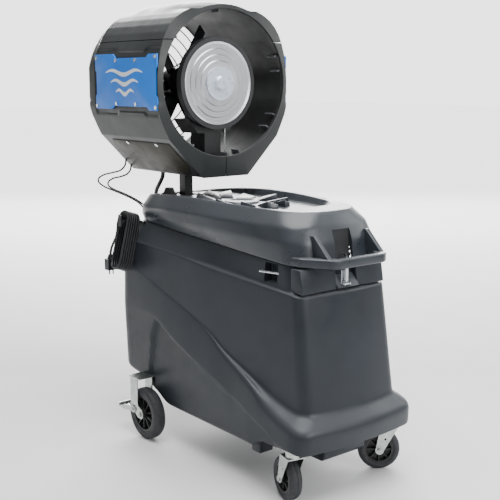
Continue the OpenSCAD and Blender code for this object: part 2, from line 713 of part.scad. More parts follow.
module fan() color(black) {
    difference() {
        translate([0, 400, fan_z]) rotate([-90, 0, 0]) cylinder(r = 62, h = 60);
        translate([0, 390, fan_z]) rotate([-90, 0, 0]) cylinder(r = shaft_r, h = 90);
    }
    for (a = [0:360 / blade_count:359]) translate([0, 430, fan_z]) rotate([0, a, 0])
        rotate([0, 0, 0]) translate([58, 0, 0]) rotate([32, 0, 0]) box([0, -2.5, -34], [190, 2.5, 34]);
}

module slinger_ring() color(black) {
    difference() {
        union() {
            turned_y(0, fan_z) polygon([[155, 160], [172, 160], [172, 188], [166, 188], [166, 164], [155, 164]]);
            turned_y(0, fan_z) polygon([[shaft_r, 184], [166, 184], [166, 188], [shaft_r, 188]]);
        }
    }
    turned_y(0, fan_z) polygon([[shaft_r, 176], [24, 176], [24, 184], [shaft_r, 184]]);
}

// Stepped atomiser disc
module disc() color(silver) turned_y(0, fan_z) polygon([
    [shaft_r, 152], [64, 152], [64, 154], [82, 155], [86, 158], [104, 158], [108, 161], [126, 161], [130, 164], [146, 164],
    [disc_r, 160], [disc_r, 168], [146, 170], [60, 166], [24, 166], [24, 172], [shaft_r, 172]]);

module disc_cap() color([0.7, 0.73, 0.78]) {
    turned_y(0, fan_z) polygon([[0, 132], [22, 132], [29, 138], [29, 146], [63, 146], [63, 152], [shaft_r, 152], [shaft_r, 146], [0, 146]]);
    for (a = [90, 210, 330]) translate([0, 143, fan_z]) rotate([0, a, 0]) translate([46, 0, 0]) rotate([-90, 0, 0])
        cylinder(r = 4, h = 3, $fn = 24);
}

// ---------- cords ----------

// Points along a route, smoothed with a Catmull-Rom curve, n steps a span
function cr(a, b, c, d, t) = 0.5 * (2 * b + (c - a) * t + (2 * a - 5 * b + 4 * c - d) * t * t
    + (3 * b - a - 3 * c + d) * t * t * t);
function route(p, n) = let (m = len(p)) concat(
    [for (i = [0:m - 2], k = [0:n - 1]) cr(p[max(0, i - 1)], p[i], p[i + 1], p[min(m - 1, i + 2)], k / n)],
    [p[m - 1]]);

function unit(v) = v / norm(v);
function tangent(c, i) = unit(c[min(len(c) - 1, i + 1)] - c[max(0, i - 1)]);
// Side vectors carried along the curve so that the tube doesn't twist
function carried(c, i, s) = i >= len(c) ? [] :
    let (t = tangent(c, i), v = unit(s - (s * t) * t)) concat([v], carried(c, i + 1, v));

module tube(c, r, sides = 10) {
    t0 = tangent(c, 0);
    seed = abs(t0.z) > 0.8 ? [1, 0, 0] : [0, 0, 1];
    v = carried(c, 0, seed);
    n = len(c);
    pts = [for (i = [0:n - 1], k = [0:sides - 1]) let (u = cross(tangent(c, i), v[i]), a = 360 * k / sides)
        c[i] + r * (cos(a) * v[i] + sin(a) * u)];
    polyhedron(points = pts, convexity = 8, faces = concat(
        [[for (k = [0:sides - 1]) k]],
        [[for (k = [sides - 1:-1:0]) (n - 1) * sides + k]],
        [for (i = [0:n - 2], k = [0:sides - 1]) let (q = (k + 1) % sides) each
            [[i * sides + k, (i + 1) * sides + k, (i + 1) * sides + q], [i * sides + k, (i + 1) * sides + q, i * sides + q]]]));
}

cable_a_route = [[-150, 588, 1054], [-152, 592, 1030], [-164, 610, 1008], [-186, 636, 998], [-214, 654, 990],
    [-240, 652, 978], [-254, 630, 964], [-246, 602, 948], [-218, 576, 932], [-180, 552, 912], [-146, 528, 890],
    [-122, 510, 862], [-112, 504, 822]];
cable_b_route = [[-126, 588, 1030], [-128, 592, 1008], [-138, 606, 990], [-156, 626, 980], [-180, 640, 974],
    [-204, 638, 962], [-216, 618, 948], [-206, 590, 934], [-176, 566, 918], [-144, 542, 898], [-116, 520, 874],
    [-96, 508, 850], [-88, 504, 822]];
hose_route = [[-96, 400, 1018], [-96, 404, 994], [-97, 424, 966], [-92, 452, 940], [-80, 480, 910], [-68, 494, 875],
    [-60, 498, 830]];
lead_route = [[-132, 497.5, 700], [-133, 524, 699], [-144, 548, 695], [-166, 564, 690], [-196, 570, 684],
    [-224, 562, 677], [-249, 544, 670], [-264, 516, 664], [-271, 486, 658], [-273, 456, 652]];
tail_route = [[-282, 447, 806], [-282, 450, 786], [-283, 460, 762], [-284, 476, 740], [-285, 492, 716],
    [-285, 501, 690]];

module head_cable_a() color(black) tube(route(cable_a_route, 4), cable_d / 2);
module head_cable_b() color(black) tube(route(cable_b_route, 4), cable_d / 2);
module water_hose() color(black) tube(route(hose_route, 3), hose_d / 2, 12);
module cord_lead() color(black) tube(route(lead_route, 4), cord_d / 2);
module cord_tail() color(black) tube(route(tail_route, 3), cord_d / 2);

hank_tilt = 18;                   // the hank leans out over the tank's shoulder
module cord_hank() color(black) difference() {
    translate([-246, 416, 836]) rotate([0, hank_tilt, 0]) rotate([-6, 0, 0]) translate([-34, 0, 0]) along_x(0, 68) hull() {
        translate([0, -6]) circle(r = 36);
        translate([0, -166]) circle(r = 36);
    }
    box([-310, 398, 822], [-190, 414, 838]);
}

module plug() color([0.12, 0.12, 0.13]) translate([-285, 486, 628]) {
    translate([-19, 0, 0]) cube([38, 30, 44]);
    translate([0, 15, 44]) cylinder(r1 = 14, r2 = 8, h = 18, $fn = 32);
    for (x = [-8, 8]) translate([x - 1, 8, -18]) cube([2, 7, 18]);
}

// ---------- nodes ----------

tank();
drain_plug();
lid();
lid_hinge();
fill_cap();
latch_base();
latch();
side_rod();
pump();
junction_box();
rocker_switch();
hose_fitting();
cord_bracket();
cord_gland();
mast();
mast_base();
caster_plate(-1);  // caster_fl_plate
caster_fork(-1);  // caster_fl_fork
caster_axle(-1);  // caster_fl_axle
front_rim(-1);  // caster_fl_rim
front_tyre(-1);  // caster_fl_tyre
caster_plate(1);  // caster_fr_plate
caster_fork(1);  // caster_fr_fork
caster_axle(1);  // caster_fr_axle
front_rim(1);  // caster_fr_rim
front_tyre(1);  // caster_fr_tyre
rear_bracket(-1);  // rear_l_bracket
rear_axle(-1);  // rear_l_axle
rear_rim(-1);  // rear_l_rim
rear_tyre(-1);  // rear_l_tyre
rear_pedal(-1);  // rear_l_pedal
rear_bracket(1);  // rear_r_bracket
rear_axle(1);  // rear_r_axle
rear_rim(1);  // rear_r_rim
rear_tyre(1);  // rear_r_tyre
rear_pedal(1);  // rear_r_pedal
pan_collar();
head_frame();
shell_half(-1);  // shell_left
shell_half(1);  // shell_right
shell_top();
side_panel(-1);  // panel_left
side_panel(1);  // panel_right
head_screws();
shell_latch();
rear_guard();
motor();
feed_tube();
shaft();
fan();
slinger_ring();
disc();
disc_cap();
head_cable_a();
head_cable_b();
water_hose();
cord_lead();
cord_tail();
cord_hank();
plug();
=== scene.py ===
"""Evaporative cooler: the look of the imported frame, in metres."""
import math

import bmesh
import bpy
from mathutils import Matrix, Vector


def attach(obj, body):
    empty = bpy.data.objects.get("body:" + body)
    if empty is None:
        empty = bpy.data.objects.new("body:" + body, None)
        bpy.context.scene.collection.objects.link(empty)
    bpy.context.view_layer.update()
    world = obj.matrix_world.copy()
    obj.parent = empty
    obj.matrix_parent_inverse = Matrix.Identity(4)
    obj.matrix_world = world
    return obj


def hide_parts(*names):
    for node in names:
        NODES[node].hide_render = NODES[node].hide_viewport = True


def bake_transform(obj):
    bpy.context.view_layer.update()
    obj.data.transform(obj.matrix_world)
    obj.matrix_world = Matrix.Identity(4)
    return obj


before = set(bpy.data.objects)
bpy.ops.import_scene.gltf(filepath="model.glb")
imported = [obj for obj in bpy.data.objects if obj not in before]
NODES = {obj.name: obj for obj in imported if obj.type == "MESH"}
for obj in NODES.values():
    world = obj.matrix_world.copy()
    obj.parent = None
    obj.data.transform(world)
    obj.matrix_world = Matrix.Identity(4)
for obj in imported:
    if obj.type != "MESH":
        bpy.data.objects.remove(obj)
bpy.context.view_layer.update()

# ---------- camera ----------

cam = bpy.data.objects.new("camera", bpy.data.cameras.new("camera"))
cam.data.lens = 67.68
cam.data.sensor_width = 36
cam.location = (-2.164, -2.700, 1.370)
cam.rotation_euler = Vector((0.6193, 0.7648, -0.1779)).to_track_quat("-Z", "Y").to_euler()
bpy.context.scene.collection.objects.link(cam)
bpy.context.scene.camera = cam

# ---------- driving sizes, as in the CAD ----------

FAN_Z = 1.358          # height of the fan's axis
FLAT_Z = 1.013         # underside of the head
DRUM_Y0 = 0.112        # front of the head
DRUM_Y1 = 0.612        # rear of the head
DRUM_R = 0.286
SWELL = 0.019          # how much the drum swells in its middle
MOUTH_R = 0.270
STRETCH = 1.035        # the head is wider than tall
SIDE_X = 0.299         # the head's flat sides
PANEL_X = 0.302        # outside of the side panels
SIDE_NAMES = {-1: "left", 1: "right"}
CAP_Z = 1.512          # seam of the head's top cap
REACH = 0.452          # the 45 degree facets of the head
RIM_Z = 0.806          # the tank's seat for the lid
LID_TOP = 0.955
LID_CREASE = 0.900
DECK = 0.034           # how far the lid's deck is sunk


# ---------- mesh helpers ----------

def new_object(name, verts, faces, smooth=35):
    """A mesh object with its normals outwards, smooth below the given angle in degrees."""
    mesh = bpy.data.meshes.new(name)
    mesh.from_pydata([tuple(v) for v in verts], [], [tuple(f) for f in faces])
    mesh.validate()
    o = bpy.data.objects.new(name, mesh)
    bpy.context.scene.collection.objects.link(o)
    tidy_normals(o)
    shade(o, smooth)
    return o


def tidy_normals(o):
    bm = bmesh.new()
    bm.from_mesh(o.data)
    bmesh.ops.recalc_face_normals(bm, faces=bm.faces)
    bm.to_mesh(o.data)
    bm.free()


def shade(o, angle):
    """Smooth shading with sharp edges above the given angle in degrees."""
    bm = bmesh.new()
    bm.from_mesh(o.data)
    for f in bm.faces:
        f.smooth = True
    limit = math.radians(angle)
    for e in bm.edges:
        e.smooth = len(e.link_faces) == 2 and e.calc_face_angle(0) < limit
    bm.to_mesh(o.data)
    bm.free()


def apply(o, modifier):
    """Applies a modifier to the object's mesh."""
    with bpy.context.temp_override(object=o, active_object=o, selected_objects=[o]):
        bpy.ops.object.modifier_apply(modifier=modifier.name)


def bevelled(o, width, segments=3, angle=30):
    m = o.modifiers.new("bevel", "BEVEL")
    m.width = width
    m.segments = segments
    m.limit_method = "ANGLE"
    m.angle_limit = math.radians(angle)
    m.harden_normals = False
    apply(o, m)
    shade(o, 40)
    return o


def join(name, objects):
    """One object from several, each already in world coordinates."""
    bm = bmesh.new()
    for o in objects:
        o.data.transform(o.matrix_world)
        bm.from_mesh(o.data)
    mesh = bpy.data.meshes.new(name)
    bm.to_mesh(mesh)
    bm.free()
    for o in objects:
        bpy.data.objects.remove(o)
    o = bpy.data.objects.new(name, mesh)
    bpy.context.scene.collection.objects.link(o)
    return o


def block(name, low, high, bevel=0.003):
    x0, y0, z0 = low
    x1, y1, z1 = high
    v = [(x, y, z) for z in (z0, z1) for y in (y0, y1) for x in (x0, x1)]
    f = [(0, 2, 3, 1), (4, 5, 7, 6), (0, 1, 5, 4), (1, 3, 7, 5), (3, 2, 6, 7), (2, 0, 4, 6)]
    o = new_object(name, v, f)
    return bevelled(o, bevel) if bevel else o


def between(name, low, high):
    """A closed solid between two outlines with as many points each."""
    n = len(low)
    f = [tuple(range(n)), tuple(range(2 * n - 1, n - 1, -1))]
    f += [(i, (i + 1) % n, (i + 1) % n + n, i + n) for i in range(n)]
    return new_object(name, low + high, f)


def prism(name, outline, x0, x1, bevel=0.002):
    """An outline of (y, z) points extruded from x0 to x1."""
    o = between(name, [(x0, y, z) for y, z in outline], [(x1, y, z) for y, z in outline])
    return bevelled(o, bevel) if bevel else o


def cut_block(o, low, high, bevel=0.0):
    """Takes a block out of a piece."""
    cutter = block("cut", low, high, bevel)
    m = o.modifiers.new("cut", "BOOLEAN")
    m.object = cutter
    m.operation = "DIFFERENCE"
    m.solver = "EXACT"
    apply(o, m)
    bpy.data.objects.remove(cutter)


def turned(name, profile, centre, steps):
    """A profile of (radius, height) turned about an upright axis through centre."""
    v, f = [], []
    for i in range(steps):
        a = 2 * math.pi * i / steps
        c, s = math.cos(a), math.sin(a)
        v += [(centre[0] + r * c, centre[1] + r * s, centre[2] + h) for r, h in profile]
    m = len(profile)
    for i in range(steps):
        j = (i + 1) % steps
        f += [(i * m + k, j * m + k, j * m + k + 1, i * m + k + 1) for k in range(m - 1)]
    o = new_object(name, v, f)
    bm = bmesh.new()
    bm.from_mesh(o.data)
    bmesh.ops.remove_doubles(bm, verts=bm.verts, dist=1e-6)
    bmesh.ops.recalc_face_normals(bm, faces=bm.faces)
    bm.to_mesh(o.data)
    bm.free()
    shade(o, 35)
    return o


def lerp(a, b, t):
    """The value a share t of the way from a to b."""
    return a + (b - a) * t


def smooth(a, b, x):
    """0 below a, 1 above b, and a smooth step between them."""
    t = min(1.0, max(0.0, (x - a) / (b - a)))
    return t * t * (3 - 2 * t)


def lookup(table, x):
    """A smooth curve through a table of (x, value), flat outside it."""
    n = len(table)
    if x <= table[0][0]:
        return table[0][1]
    if x >= table[-1][0]:
        return table[-1][1]
    i = max(k for k in range(n) if table[k][0] <= x)
    i = min(i, n - 2)
    slopes = [(table[k + 1][1] - table[k][1]) / (table[k + 1][0] - table[k][0]) for k in range(n - 1)]

    def tangent(k):
        if k == 0 or k == n - 1:
            return slopes[min(k, n - 2)]
        a, b = slopes[k - 1], slopes[k]
        return 0.0 if a * b <= 0 else 2 * a * b / (a + b)
    (x0, y0), (x1, y1) = table[i], table[i + 1]
    h = x1 - x0
    t = (x - x0) / h
    return ((2 * t ** 3 - 3 * t * t + 1) * y0 + (t ** 3 - 2 * t * t + t) * h * tangent(i)
            + (3 * t * t - 2 * t ** 3) * y1 + (t ** 3 - t * t) * h * tangent(i + 1))


def grown(table, d):
    """A table of (x, value) with every value raised by d."""
    return [(x, v + d) for x, v in table]


def quadratic(a, c, b, t):
    """A point on the curve from a to b that c pulls towards it."""
    return tuple((1 - t) ** 2 * p + 2 * t * (1 - t) * q + t * t * r for p, q, r in zip(a, c, b))


# ---------- cords ----------

def curve_points(route, steps):
    """The route's points on a Catmull-Rom curve."""
    out = []
    n = len(route)
    for i in range(n - 1):
        p = [route[max(0, i - 1)], route[i], route[i + 1], route[min(n - 1, i + 2)]]
        for k in range(steps):
            t = k / steps
            out.append(tuple(0.5 * (2 * b + (c - a) * t + (2 * a - 5 * b + 4 * c - d) * t * t
                                    + (3 * b - a - 3 * c + d) * t ** 3)
                             for a, b, c, d in zip(*p)))
    return out + [tuple(route[-1])]


def cord_curve(name, points, diameter):
    """A round curve through the points; each point's radius carries the cord's thickness."""
    data = bpy.data.curves.new(name, "CURVE")
    data.dimensions = "3D"
    data.bevel_depth = 1.0
    data.bevel_resolution = 4
    data.use_fill_caps = True
    s = data.splines.new("POLY")
    s.points.add(len(points) - 1)
    for p, q in zip(s.points, points):
        p.co = (*q, 1)
        p.radius = diameter / 2
    o = bpy.data.objects.new(name, data)
    bpy.context.scene.collection.objects.link(o)
    return o


def tube_of(curve):
    """The curve's tube as a mesh, in place of the curve."""
    bpy.context.view_layer.update()
    mesh = bpy.data.meshes.new_from_object(curve.evaluated_get(bpy.context.evaluated_depsgraph_get()))
    name = curve.name
    bpy.data.objects.remove(curve)
    o = bpy.data.objects.new(name, mesh)
    bpy.context.scene.collection.objects.link(o)
    return o


def metres(points):
    return [tuple(c / 1000 for c in p) for p in points]


CABLE_A = metres([(-150, 588, 1054), (-152, 592, 1030), (-164, 610, 1008), (-186, 636, 998), (-214, 654, 990),
                  (-240, 652, 978), (-254, 630, 964), (-246, 602, 948), (-218, 576, 932), (-180, 552, 912),
                  (-146, 528, 890), (-122, 510, 862), (-112, 504, 822)])
CABLE_B = metres([(-126, 588, 1030), (-128, 592, 1008), (-138, 606, 990), (-156, 626, 980), (-180, 640, 974),
                  (-204, 638, 962), (-216, 618, 948), (-206, 590, 934), (-176, 566, 918), (-144, 542, 898),
                  (-116, 520, 874), (-96, 508, 850), (-88, 504, 822)])
HOSE = metres([(-96, 400, 1018), (-96, 404, 994), (-97, 424, 966), (-92, 452, 940), (-80, 480, 910),
               (-68, 494, 875), (-60, 498, 830)])
LEAD = metres([(-132, 497.5, 700), (-133, 524, 699), (-144, 548, 695), (-166, 564, 690), (-196, 570, 684),
               (-224, 562, 677), (-249, 544, 670), (-264, 516, 664), (-271, 486, 658), (-273, 456, 652)])
TAIL = metres([(-282, 447, 806), (-282, 450, 786), (-283, 460, 762), (-284, 476, 740), (-285, 492, 716),
               (-285, 501, 690)])

# The wound lead: turns side by side round two ends, tilted out over the tank's shoulder
HANK_FRAME = (Matrix.Translation((-0.246, 0.416, 0.836)) @ Matrix.Rotation(math.radians(18), 4, "Y")
              @ Matrix.Rotation(math.radians(-6), 4, "X"))
HANK_R = 0.0310        # radius of the folds
HANK_TOP = -0.006      # centre of the upper fold
HANK_LOW = -0.166      # centre of the lower fold
HANK_HALF = 0.0285     # half the width over the turns' centres
HANK_TURNS = 5.62
TURN_STEPS = 48
LEAD_CUT = 5           # curve points left off the lead, where it runs over into the hank
TAIL_CUT = 3           # curve points left off the tail, likewise


def hank_points():
    """From the foot of the hank towards the front, up, over the top and down the back, turn by turn."""
    run = HANK_TOP - HANK_LOW
    fold = math.pi * HANK_R
    around = 2 * run + 2 * fold
    count = int(HANK_TURNS * TURN_STEPS)
    out = []
    for i in range(count + 1):
        turn = HANK_TURNS * i / count
        s = ((turn % 1.0) * around + fold / 2) % around
        x = lerp(HANK_HALF, -HANK_HALF, i / count)
        if s < fold:
            a = s / HANK_R
            y, z = HANK_R * math.cos(a), HANK_LOW - HANK_R * math.sin(a)
        elif s < fold + run:
            y, z = -HANK_R, HANK_LOW + (s - fold)
        elif s < 2 * fold + run:
            a = (s - fold - run) / HANK_R
            y, z = -HANK_R * math.cos(a), HANK_TOP + HANK_R * math.sin(a)
        else:
            y, z = HANK_R, HANK_TOP - (s - 2 * fold - run)
        out.append(tuple(HANK_FRAME @ Vector((x, y, z))))
    return out


def linked(a, b, steps=10):
    """One route from two: a smooth link joins the end of a to the start of b."""
    start, end = Vector(a[-1]), Vector(b[0])
    gap = (end - start).length
    leaving = (start - Vector(a[-2])).normalized() * gap
    arriving = (Vector(b[1]) - end).normalized() * gap
    link = []
    for i in range(1, steps):
        t = i / steps
        link.append(tuple(start * (2 * t ** 3 - 3 * t * t + 1) + leaving * (t ** 3 - 2 * t * t + t)
                          + end * (3 * t * t - 2 * t ** 3) + arriving * (t ** 3 - t * t)))
    return a + link + b


def lead_points():
    """The mains lead from its gland, through the hank, to the plug."""
    wound = linked(curve_points(LEAD, 4)[:-LEAD_CUT], hank_points())
    return linked(wound, curve_points(TAIL, 5)[TAIL_CUT:])


def make_cords():
    """The free lead rides on the cart; the cables and the hose are made as meshes lying between the cart and
    the head.
    """
    pieces = []
    for name, points, diameter, nodes, far_end, stiffness, lay in [
            ("main_lead", lead_points(), 0.010, ("cord_lead", "cord_tail", "cord_hank"), "plug",
             "medium", "coiled"),
            ("motor_cable", curve_points(CABLE_A, 6), 0.007, ("head_cable_a",), "object", "medium", "loose"),
            ("sensor_cable", curve_points(CABLE_B, 6), 0.007, ("head_cable_b",), "object", "medium", "loose"),
            ("feed_hose", curve_points(HOSE, 8), 0.016, ("water_hose",), "object", "stiff", "loose")]:
        o = cord_curve(name, points, diameter)
        if far_end == "plug":
            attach(o, "cart")
        else:
            o = tube_of(o)
            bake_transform(o)
        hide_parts(*nodes)
        pieces.append(o)
    return pieces


cords = make_cords()

# ---------- moulded skins ----------
# A ring is (front y, rear y, bow of the front, front corner radius, rear corner radius, half widths over y,
# heights over y), as in the CAD, with every table smoothed. radii are the fillets at the rings, and cuts the
# number of steps between one fillet and the next.

FRONT_STEPS, CORNER_STEPS, REAR_STEPS = 10, 14, 6
FILLET_STEPS = 4
FILLET_SHARE = 0.45    # most of a stretch that the fillet at its end may take


def half_ring(ring, side_steps):
    """The points of a ring's +x half, from the middle of its front to the middle of its rear."""
    front, rear, bow, front_r, rear_r, widths, heights = ring
    front_w, rear_w = lookup(widths, front), lookup(widths, rear)

    def front_point(x):
        return (x, front - bow * (1 - (x / front_w) ** 2))

    def side_point(y):
        return (lookup(widths, y), y)

    points = [front_point(lerp(0, front_w - front_r, i / FRONT_STEPS)) for i in range(FRONT_STEPS)]
    corner = (front_point(front_w - front_r), (front_w, front), side_point(front + front_r))
    points += [quadratic(*corner, i / CORNER_STEPS) for i in range(CORNER_STEPS)]
    points += [side_point(lerp(front + front_r, rear - rear_r, i / side_steps)) for i in range(side_steps)]
    corner = (side_point(rear - rear_r), (rear_w, rear), (rear_w - rear_r, rear))
    points += [quadratic(*corner, i / CORNER_STEPS) for i in range(CORNER_STEPS)]
    points += [(lerp(rear_w - rear_r, 0, i / REAR_STEPS), rear) for i in range(REAR_STEPS + 1)]
    return [(x, y, lookup(heights, y)) for x, y in points]


def rounded_path(keys, radii, cuts):
    """A polyline with its corners rounded: the same count of points whatever the lengths."""
    out = [keys[0]]
    last = keys[0]

    def run_to(end, count):
        return [tuple(Vector(last).lerp(Vector(end), (i + 1) / count)) for i in range(count)]

    for k in range(1, len(keys) - 1):
        corner = Vector(keys[k])
        ends = []
        for other in (Vector(keys[k - 1]), Vector(keys[k + 1])):
            share = min(radii[k] / max((other - corner).length, 1e-6), FILLET_SHARE)
            ends.append(tuple(corner + (other - corner) * share))
        out += run_to(ends[0], cuts[k - 1])
        for i in range(FILLET_STEPS):
            out.append(quadratic(ends[0], tuple(corner), ends[1], (i + 1) / FILLET_STEPS))
        last = ends[1]
    return out + run_to(keys[-1], cuts[-1])


def moulded(name, rings, radii, cuts, side_steps, cap, reshape=None):
    """A skin through rings from its first down, mirrored about x = 0 and capped at its first or last ring."""
    halves = [half_ring(r, side_steps) for r in rings]
    columns = [rounded_path([h[i] for h in halves], radii, cuts) for i in range(len(halves[0]))]
    if reshape:
        columns = [[reshape(p) for p in c] for c in columns]
    half, rows = len(columns), len(columns[0])
    columns += [[(-x, y, z) for x, y, z in c] for c in reversed(columns[1:-1])]
    n = len(columns)
    verts = [p for c in columns for p in c]
    faces = [(i * rows + k, ((i + 1) % n) * rows + k, ((i + 1) % n) * rows + k + 1, i * rows + k + 1)
             for i in range(n) for k in range(rows - 1)]
    row = 0 if cap == "first" else rows - 1
    for i in range(half - 1):
        quad = [c * rows + row for c in (i, i + 1, (n - i - 1) % n, (n - i) % n)]
        faces.append(tuple(dict.fromkeys(quad)))
    faces = [f for f in faces if len(f) > 2]
    return new_object(name, verts, faces, smooth=50)


# ---------- materials ----------

class Nodes:
    """Small helper over a material's node tree."""

    def __init__(self, name):
        self.material = bpy.data.materials.new(name)
        self.material.use_nodes = True
        self.tree = self.material.node_tree
        self.shader = self.tree.nodes["Principled BSDF"]
        self.place = self.add("ShaderNodeTexCoord").outputs["Object"]

    def add(self, kind, **values):
        n = self.tree.nodes.new(kind)
        for key, value in values.items():
            if key in n.inputs.keys():
                n.inputs[key].default_value = value
            else:
                setattr(n, key, value)
        return n

    def link(self, a, b):
        self.tree.links.new(a, b)

    def noise(self, scale, detail=3.0, rough=0.55, stretch=None):
        n = self.add("ShaderNodeTexNoise", Scale=scale, Detail=detail, Roughness=rough)
        source = self.place
        if stretch:
            m = self.add("ShaderNodeMapping")
            m.inputs["Scale"].default_value = stretch
            self.link(source, m.inputs["Vector"])
            source = m.outputs["Vector"]
        self.link(source, n.inputs["Vector"])
        return n.outputs["Fac"]

    def ramp(self, value, low, high, a, b):
        n = self.add("ShaderNodeMapRange")
        for key, v in (("From Min", low), ("From Max", high), ("To Min", a), ("To Max", b)):
            n.inputs[key].default_value = v
        self.link(value, n.inputs["Value"])
        return n.outputs["Result"]

    def mix(self, factor, a, b):
        """A colour between a and b; each is a colour or a socket."""
        n = self.add("ShaderNodeMix", data_type="RGBA")
        self.link(factor, n.inputs[0])
        for socket, value in ((n.inputs[6], a), (n.inputs[7], b)):
            if isinstance(value, tuple):
                socket.default_value = (*value, 1)
            else:
                self.link(value, socket)
        return n.outputs[2]

    def bump(self, height, strength, distance, after=None):
        n = self.add("ShaderNodeBump", Strength=strength, Distance=distance)
        self.link(height, n.inputs["Height"])
        if after:
            self.link(after, n.inputs["Normal"])
        return n.outputs["Normal"]

    def facing_up(self):
        g = self.add("ShaderNodeNewGeometry")
        s = self.add("ShaderNodeSeparateXYZ")
        self.link(g.outputs["Normal"], s.inputs[0])
        return self.ramp(s.outputs["Z"], 0.2, 1.0, 0.0, 1.0)

    def finish(self, colour=None, roughness=None, normal=None, **values):
        for socket, value in (("Base Color", colour), ("Roughness", roughness), ("Normal", normal)):
            if value is not None:
                self.link(value, self.shader.inputs[socket])
        for key, value in values.items():
            self.shader.inputs[key].default_value = value
        return self.material


def scaled(c, k):
    """A colour k times as bright."""
    return tuple(min(1.0, v * k) for v in c)


def moulded_plastic(name, colour, rough, texture=0.12, top_light_share=0.10, gloss=0.5):
    """Polyethylene or ABS: cloudy colour, a fine moulded grain, and upward faces painted paler as top light.
    """
    n = Nodes(name)
    base = n.mix(n.ramp(n.noise(3.2), 0.35, 0.7, 0, 1), scaled(colour, 0.88), scaled(colour, 1.13))
    speck = n.mix(n.ramp(n.noise(260, 2), 0.6, 0.8, 0, 0.35), base, scaled(colour, 1.5))
    # upward faces are mixed towards pale grey: painted light from above
    dust_and_top_light = n.mix(n.ramp(n.facing_up(), 0, 1, 0, top_light_share), speck, (0.62, 0.64, 0.66))
    roughness = n.ramp(n.noise(14, 4), 0.3, 0.7, rough - 0.07, rough + 0.08)
    grain = n.bump(n.noise(900, 2), texture, 0.0004)
    normal = n.bump(n.noise(22, 2), 0.05, 0.003, grain)
    return n.finish(dust_and_top_light, roughness, normal, **{"Specular IOR Level": gloss})


def metal(name, colour, rough, mottled=0.10, metallic=1.0, grain=None):
    """Plated or spun metal with faint cloudiness and, with grain, drawn lines."""
    n = Nodes(name)
    cloud = n.ramp(n.noise(38, 4), 0.35, 0.7, 0, 1)
    base = n.mix(cloud, scaled(colour, 1 - mottled), scaled(colour, 1 + mottled))
    roughness = n.ramp(n.noise(60, 3, stretch=grain), 0.3, 0.7, max(0.04, rough - 0.08), rough + 0.08)
    normal = n.bump(n.noise(300, 3, stretch=grain), 0.06, 0.0003)
    return n.finish(base, roughness, normal, Metallic=metallic)


def painted(name, colour, rough=0.4):
    """Enamel or powder coat: nearly even, with a slight orange peel."""
    n = Nodes(name)
    base = n.mix(n.ramp(n.noise(5), 0.3, 0.7, 0, 1), scaled(colour, 0.9), scaled(colour, 1.08))
    roughness = n.ramp(n.noise(30, 3), 0.3, 0.7, rough - 0.06, rough + 0.06)
    return n.finish(base, roughness, n.bump(n.noise(420, 2), 0.08, 0.0003))


def rubber(name, colour, rough=0.62, dust_and_top_light=0.25):
    """Matt rubber with pale scuffs of dust in patches."""
    n = Nodes(name)
    base = n.mix(n.ramp(n.noise(45, 4), 0.45, 0.75, 0, dust_and_top_light), scaled(colour, 0.9), scaled(colour, 2.0))
    roughness = n.ramp(n.noise(70, 3), 0.3, 0.7, rough - 0.1, rough + 0.12)
    return n.finish(base, roughness, n.bump(n.noise(600, 2), 0.12, 0.0004))


def spun_disc(name, colour, rough):
    """Aluminium turned about the fan's axis: fine rings in the surface."""
    n = Nodes(name)
    s = n.add("ShaderNodeSeparateXYZ")
    n.link(n.place, s.inputs[0])
    dz = n.add("ShaderNodeMath", operation="SUBTRACT")
    n.link(s.outputs["Z"], dz.inputs[0])
    dz.inputs[1].default_value = FAN_Z
    c = n.add("ShaderNodeCombineXYZ")
    n.link(s.outputs["X"], c.inputs[0])
    n.link(dz.outputs[0], c.inputs[1])
    far = n.add("ShaderNodeVectorMath", operation="LENGTH")
    n.link(c.outputs[0], far.inputs[0])
    rings = n.add("ShaderNodeTexNoise", noise_dimensions="1D", Scale=900.0, Detail=2.0)
    n.link(far.outputs["Value"], rings.inputs["W"])
    base = n.mix(n.ramp(n.noise(9, 3), 0.3, 0.7, 0, 1), scaled(colour, 0.93), scaled(colour, 1.04))
    roughness = n.ramp(rings.outputs["Fac"], 0.3, 0.7, rough - 0.05, rough + 0.1)
    return n.finish(base, roughness, n.bump(rings.outputs["Fac"], 0.12, 0.0002), Metallic=0.95)


body_mat = moulded_plastic("body_grey", (0.020, 0.0245, 0.031), 0.38, gloss=0.30)
lid_mat = moulded_plastic("lid_grey", (0.026, 0.032, 0.040), 0.32)
head_mat = moulded_plastic("head_grey", (0.020, 0.023, 0.023), 0.36, top_light_share=0.05, gloss=0.38)
# the head plastic painted darker for the drum's inside: painted shade
inside_shade_mat = moulded_plastic("head_inside_painted_shade", (0.010, 0.011, 0.011), 0.5, top_light_share=0.0)
rib_mat = moulded_plastic("mouth_rib", (0.085, 0.092, 0.098), 0.42, top_light_share=0.0)
facet_mat = moulded_plastic("facet_olive", (0.026, 0.023, 0.014), 0.48, top_light_share=0.0, gloss=0.22)
black_mat = moulded_plastic("black_plastic", (0.012, 0.013, 0.014), 0.45, top_light_share=0.04)
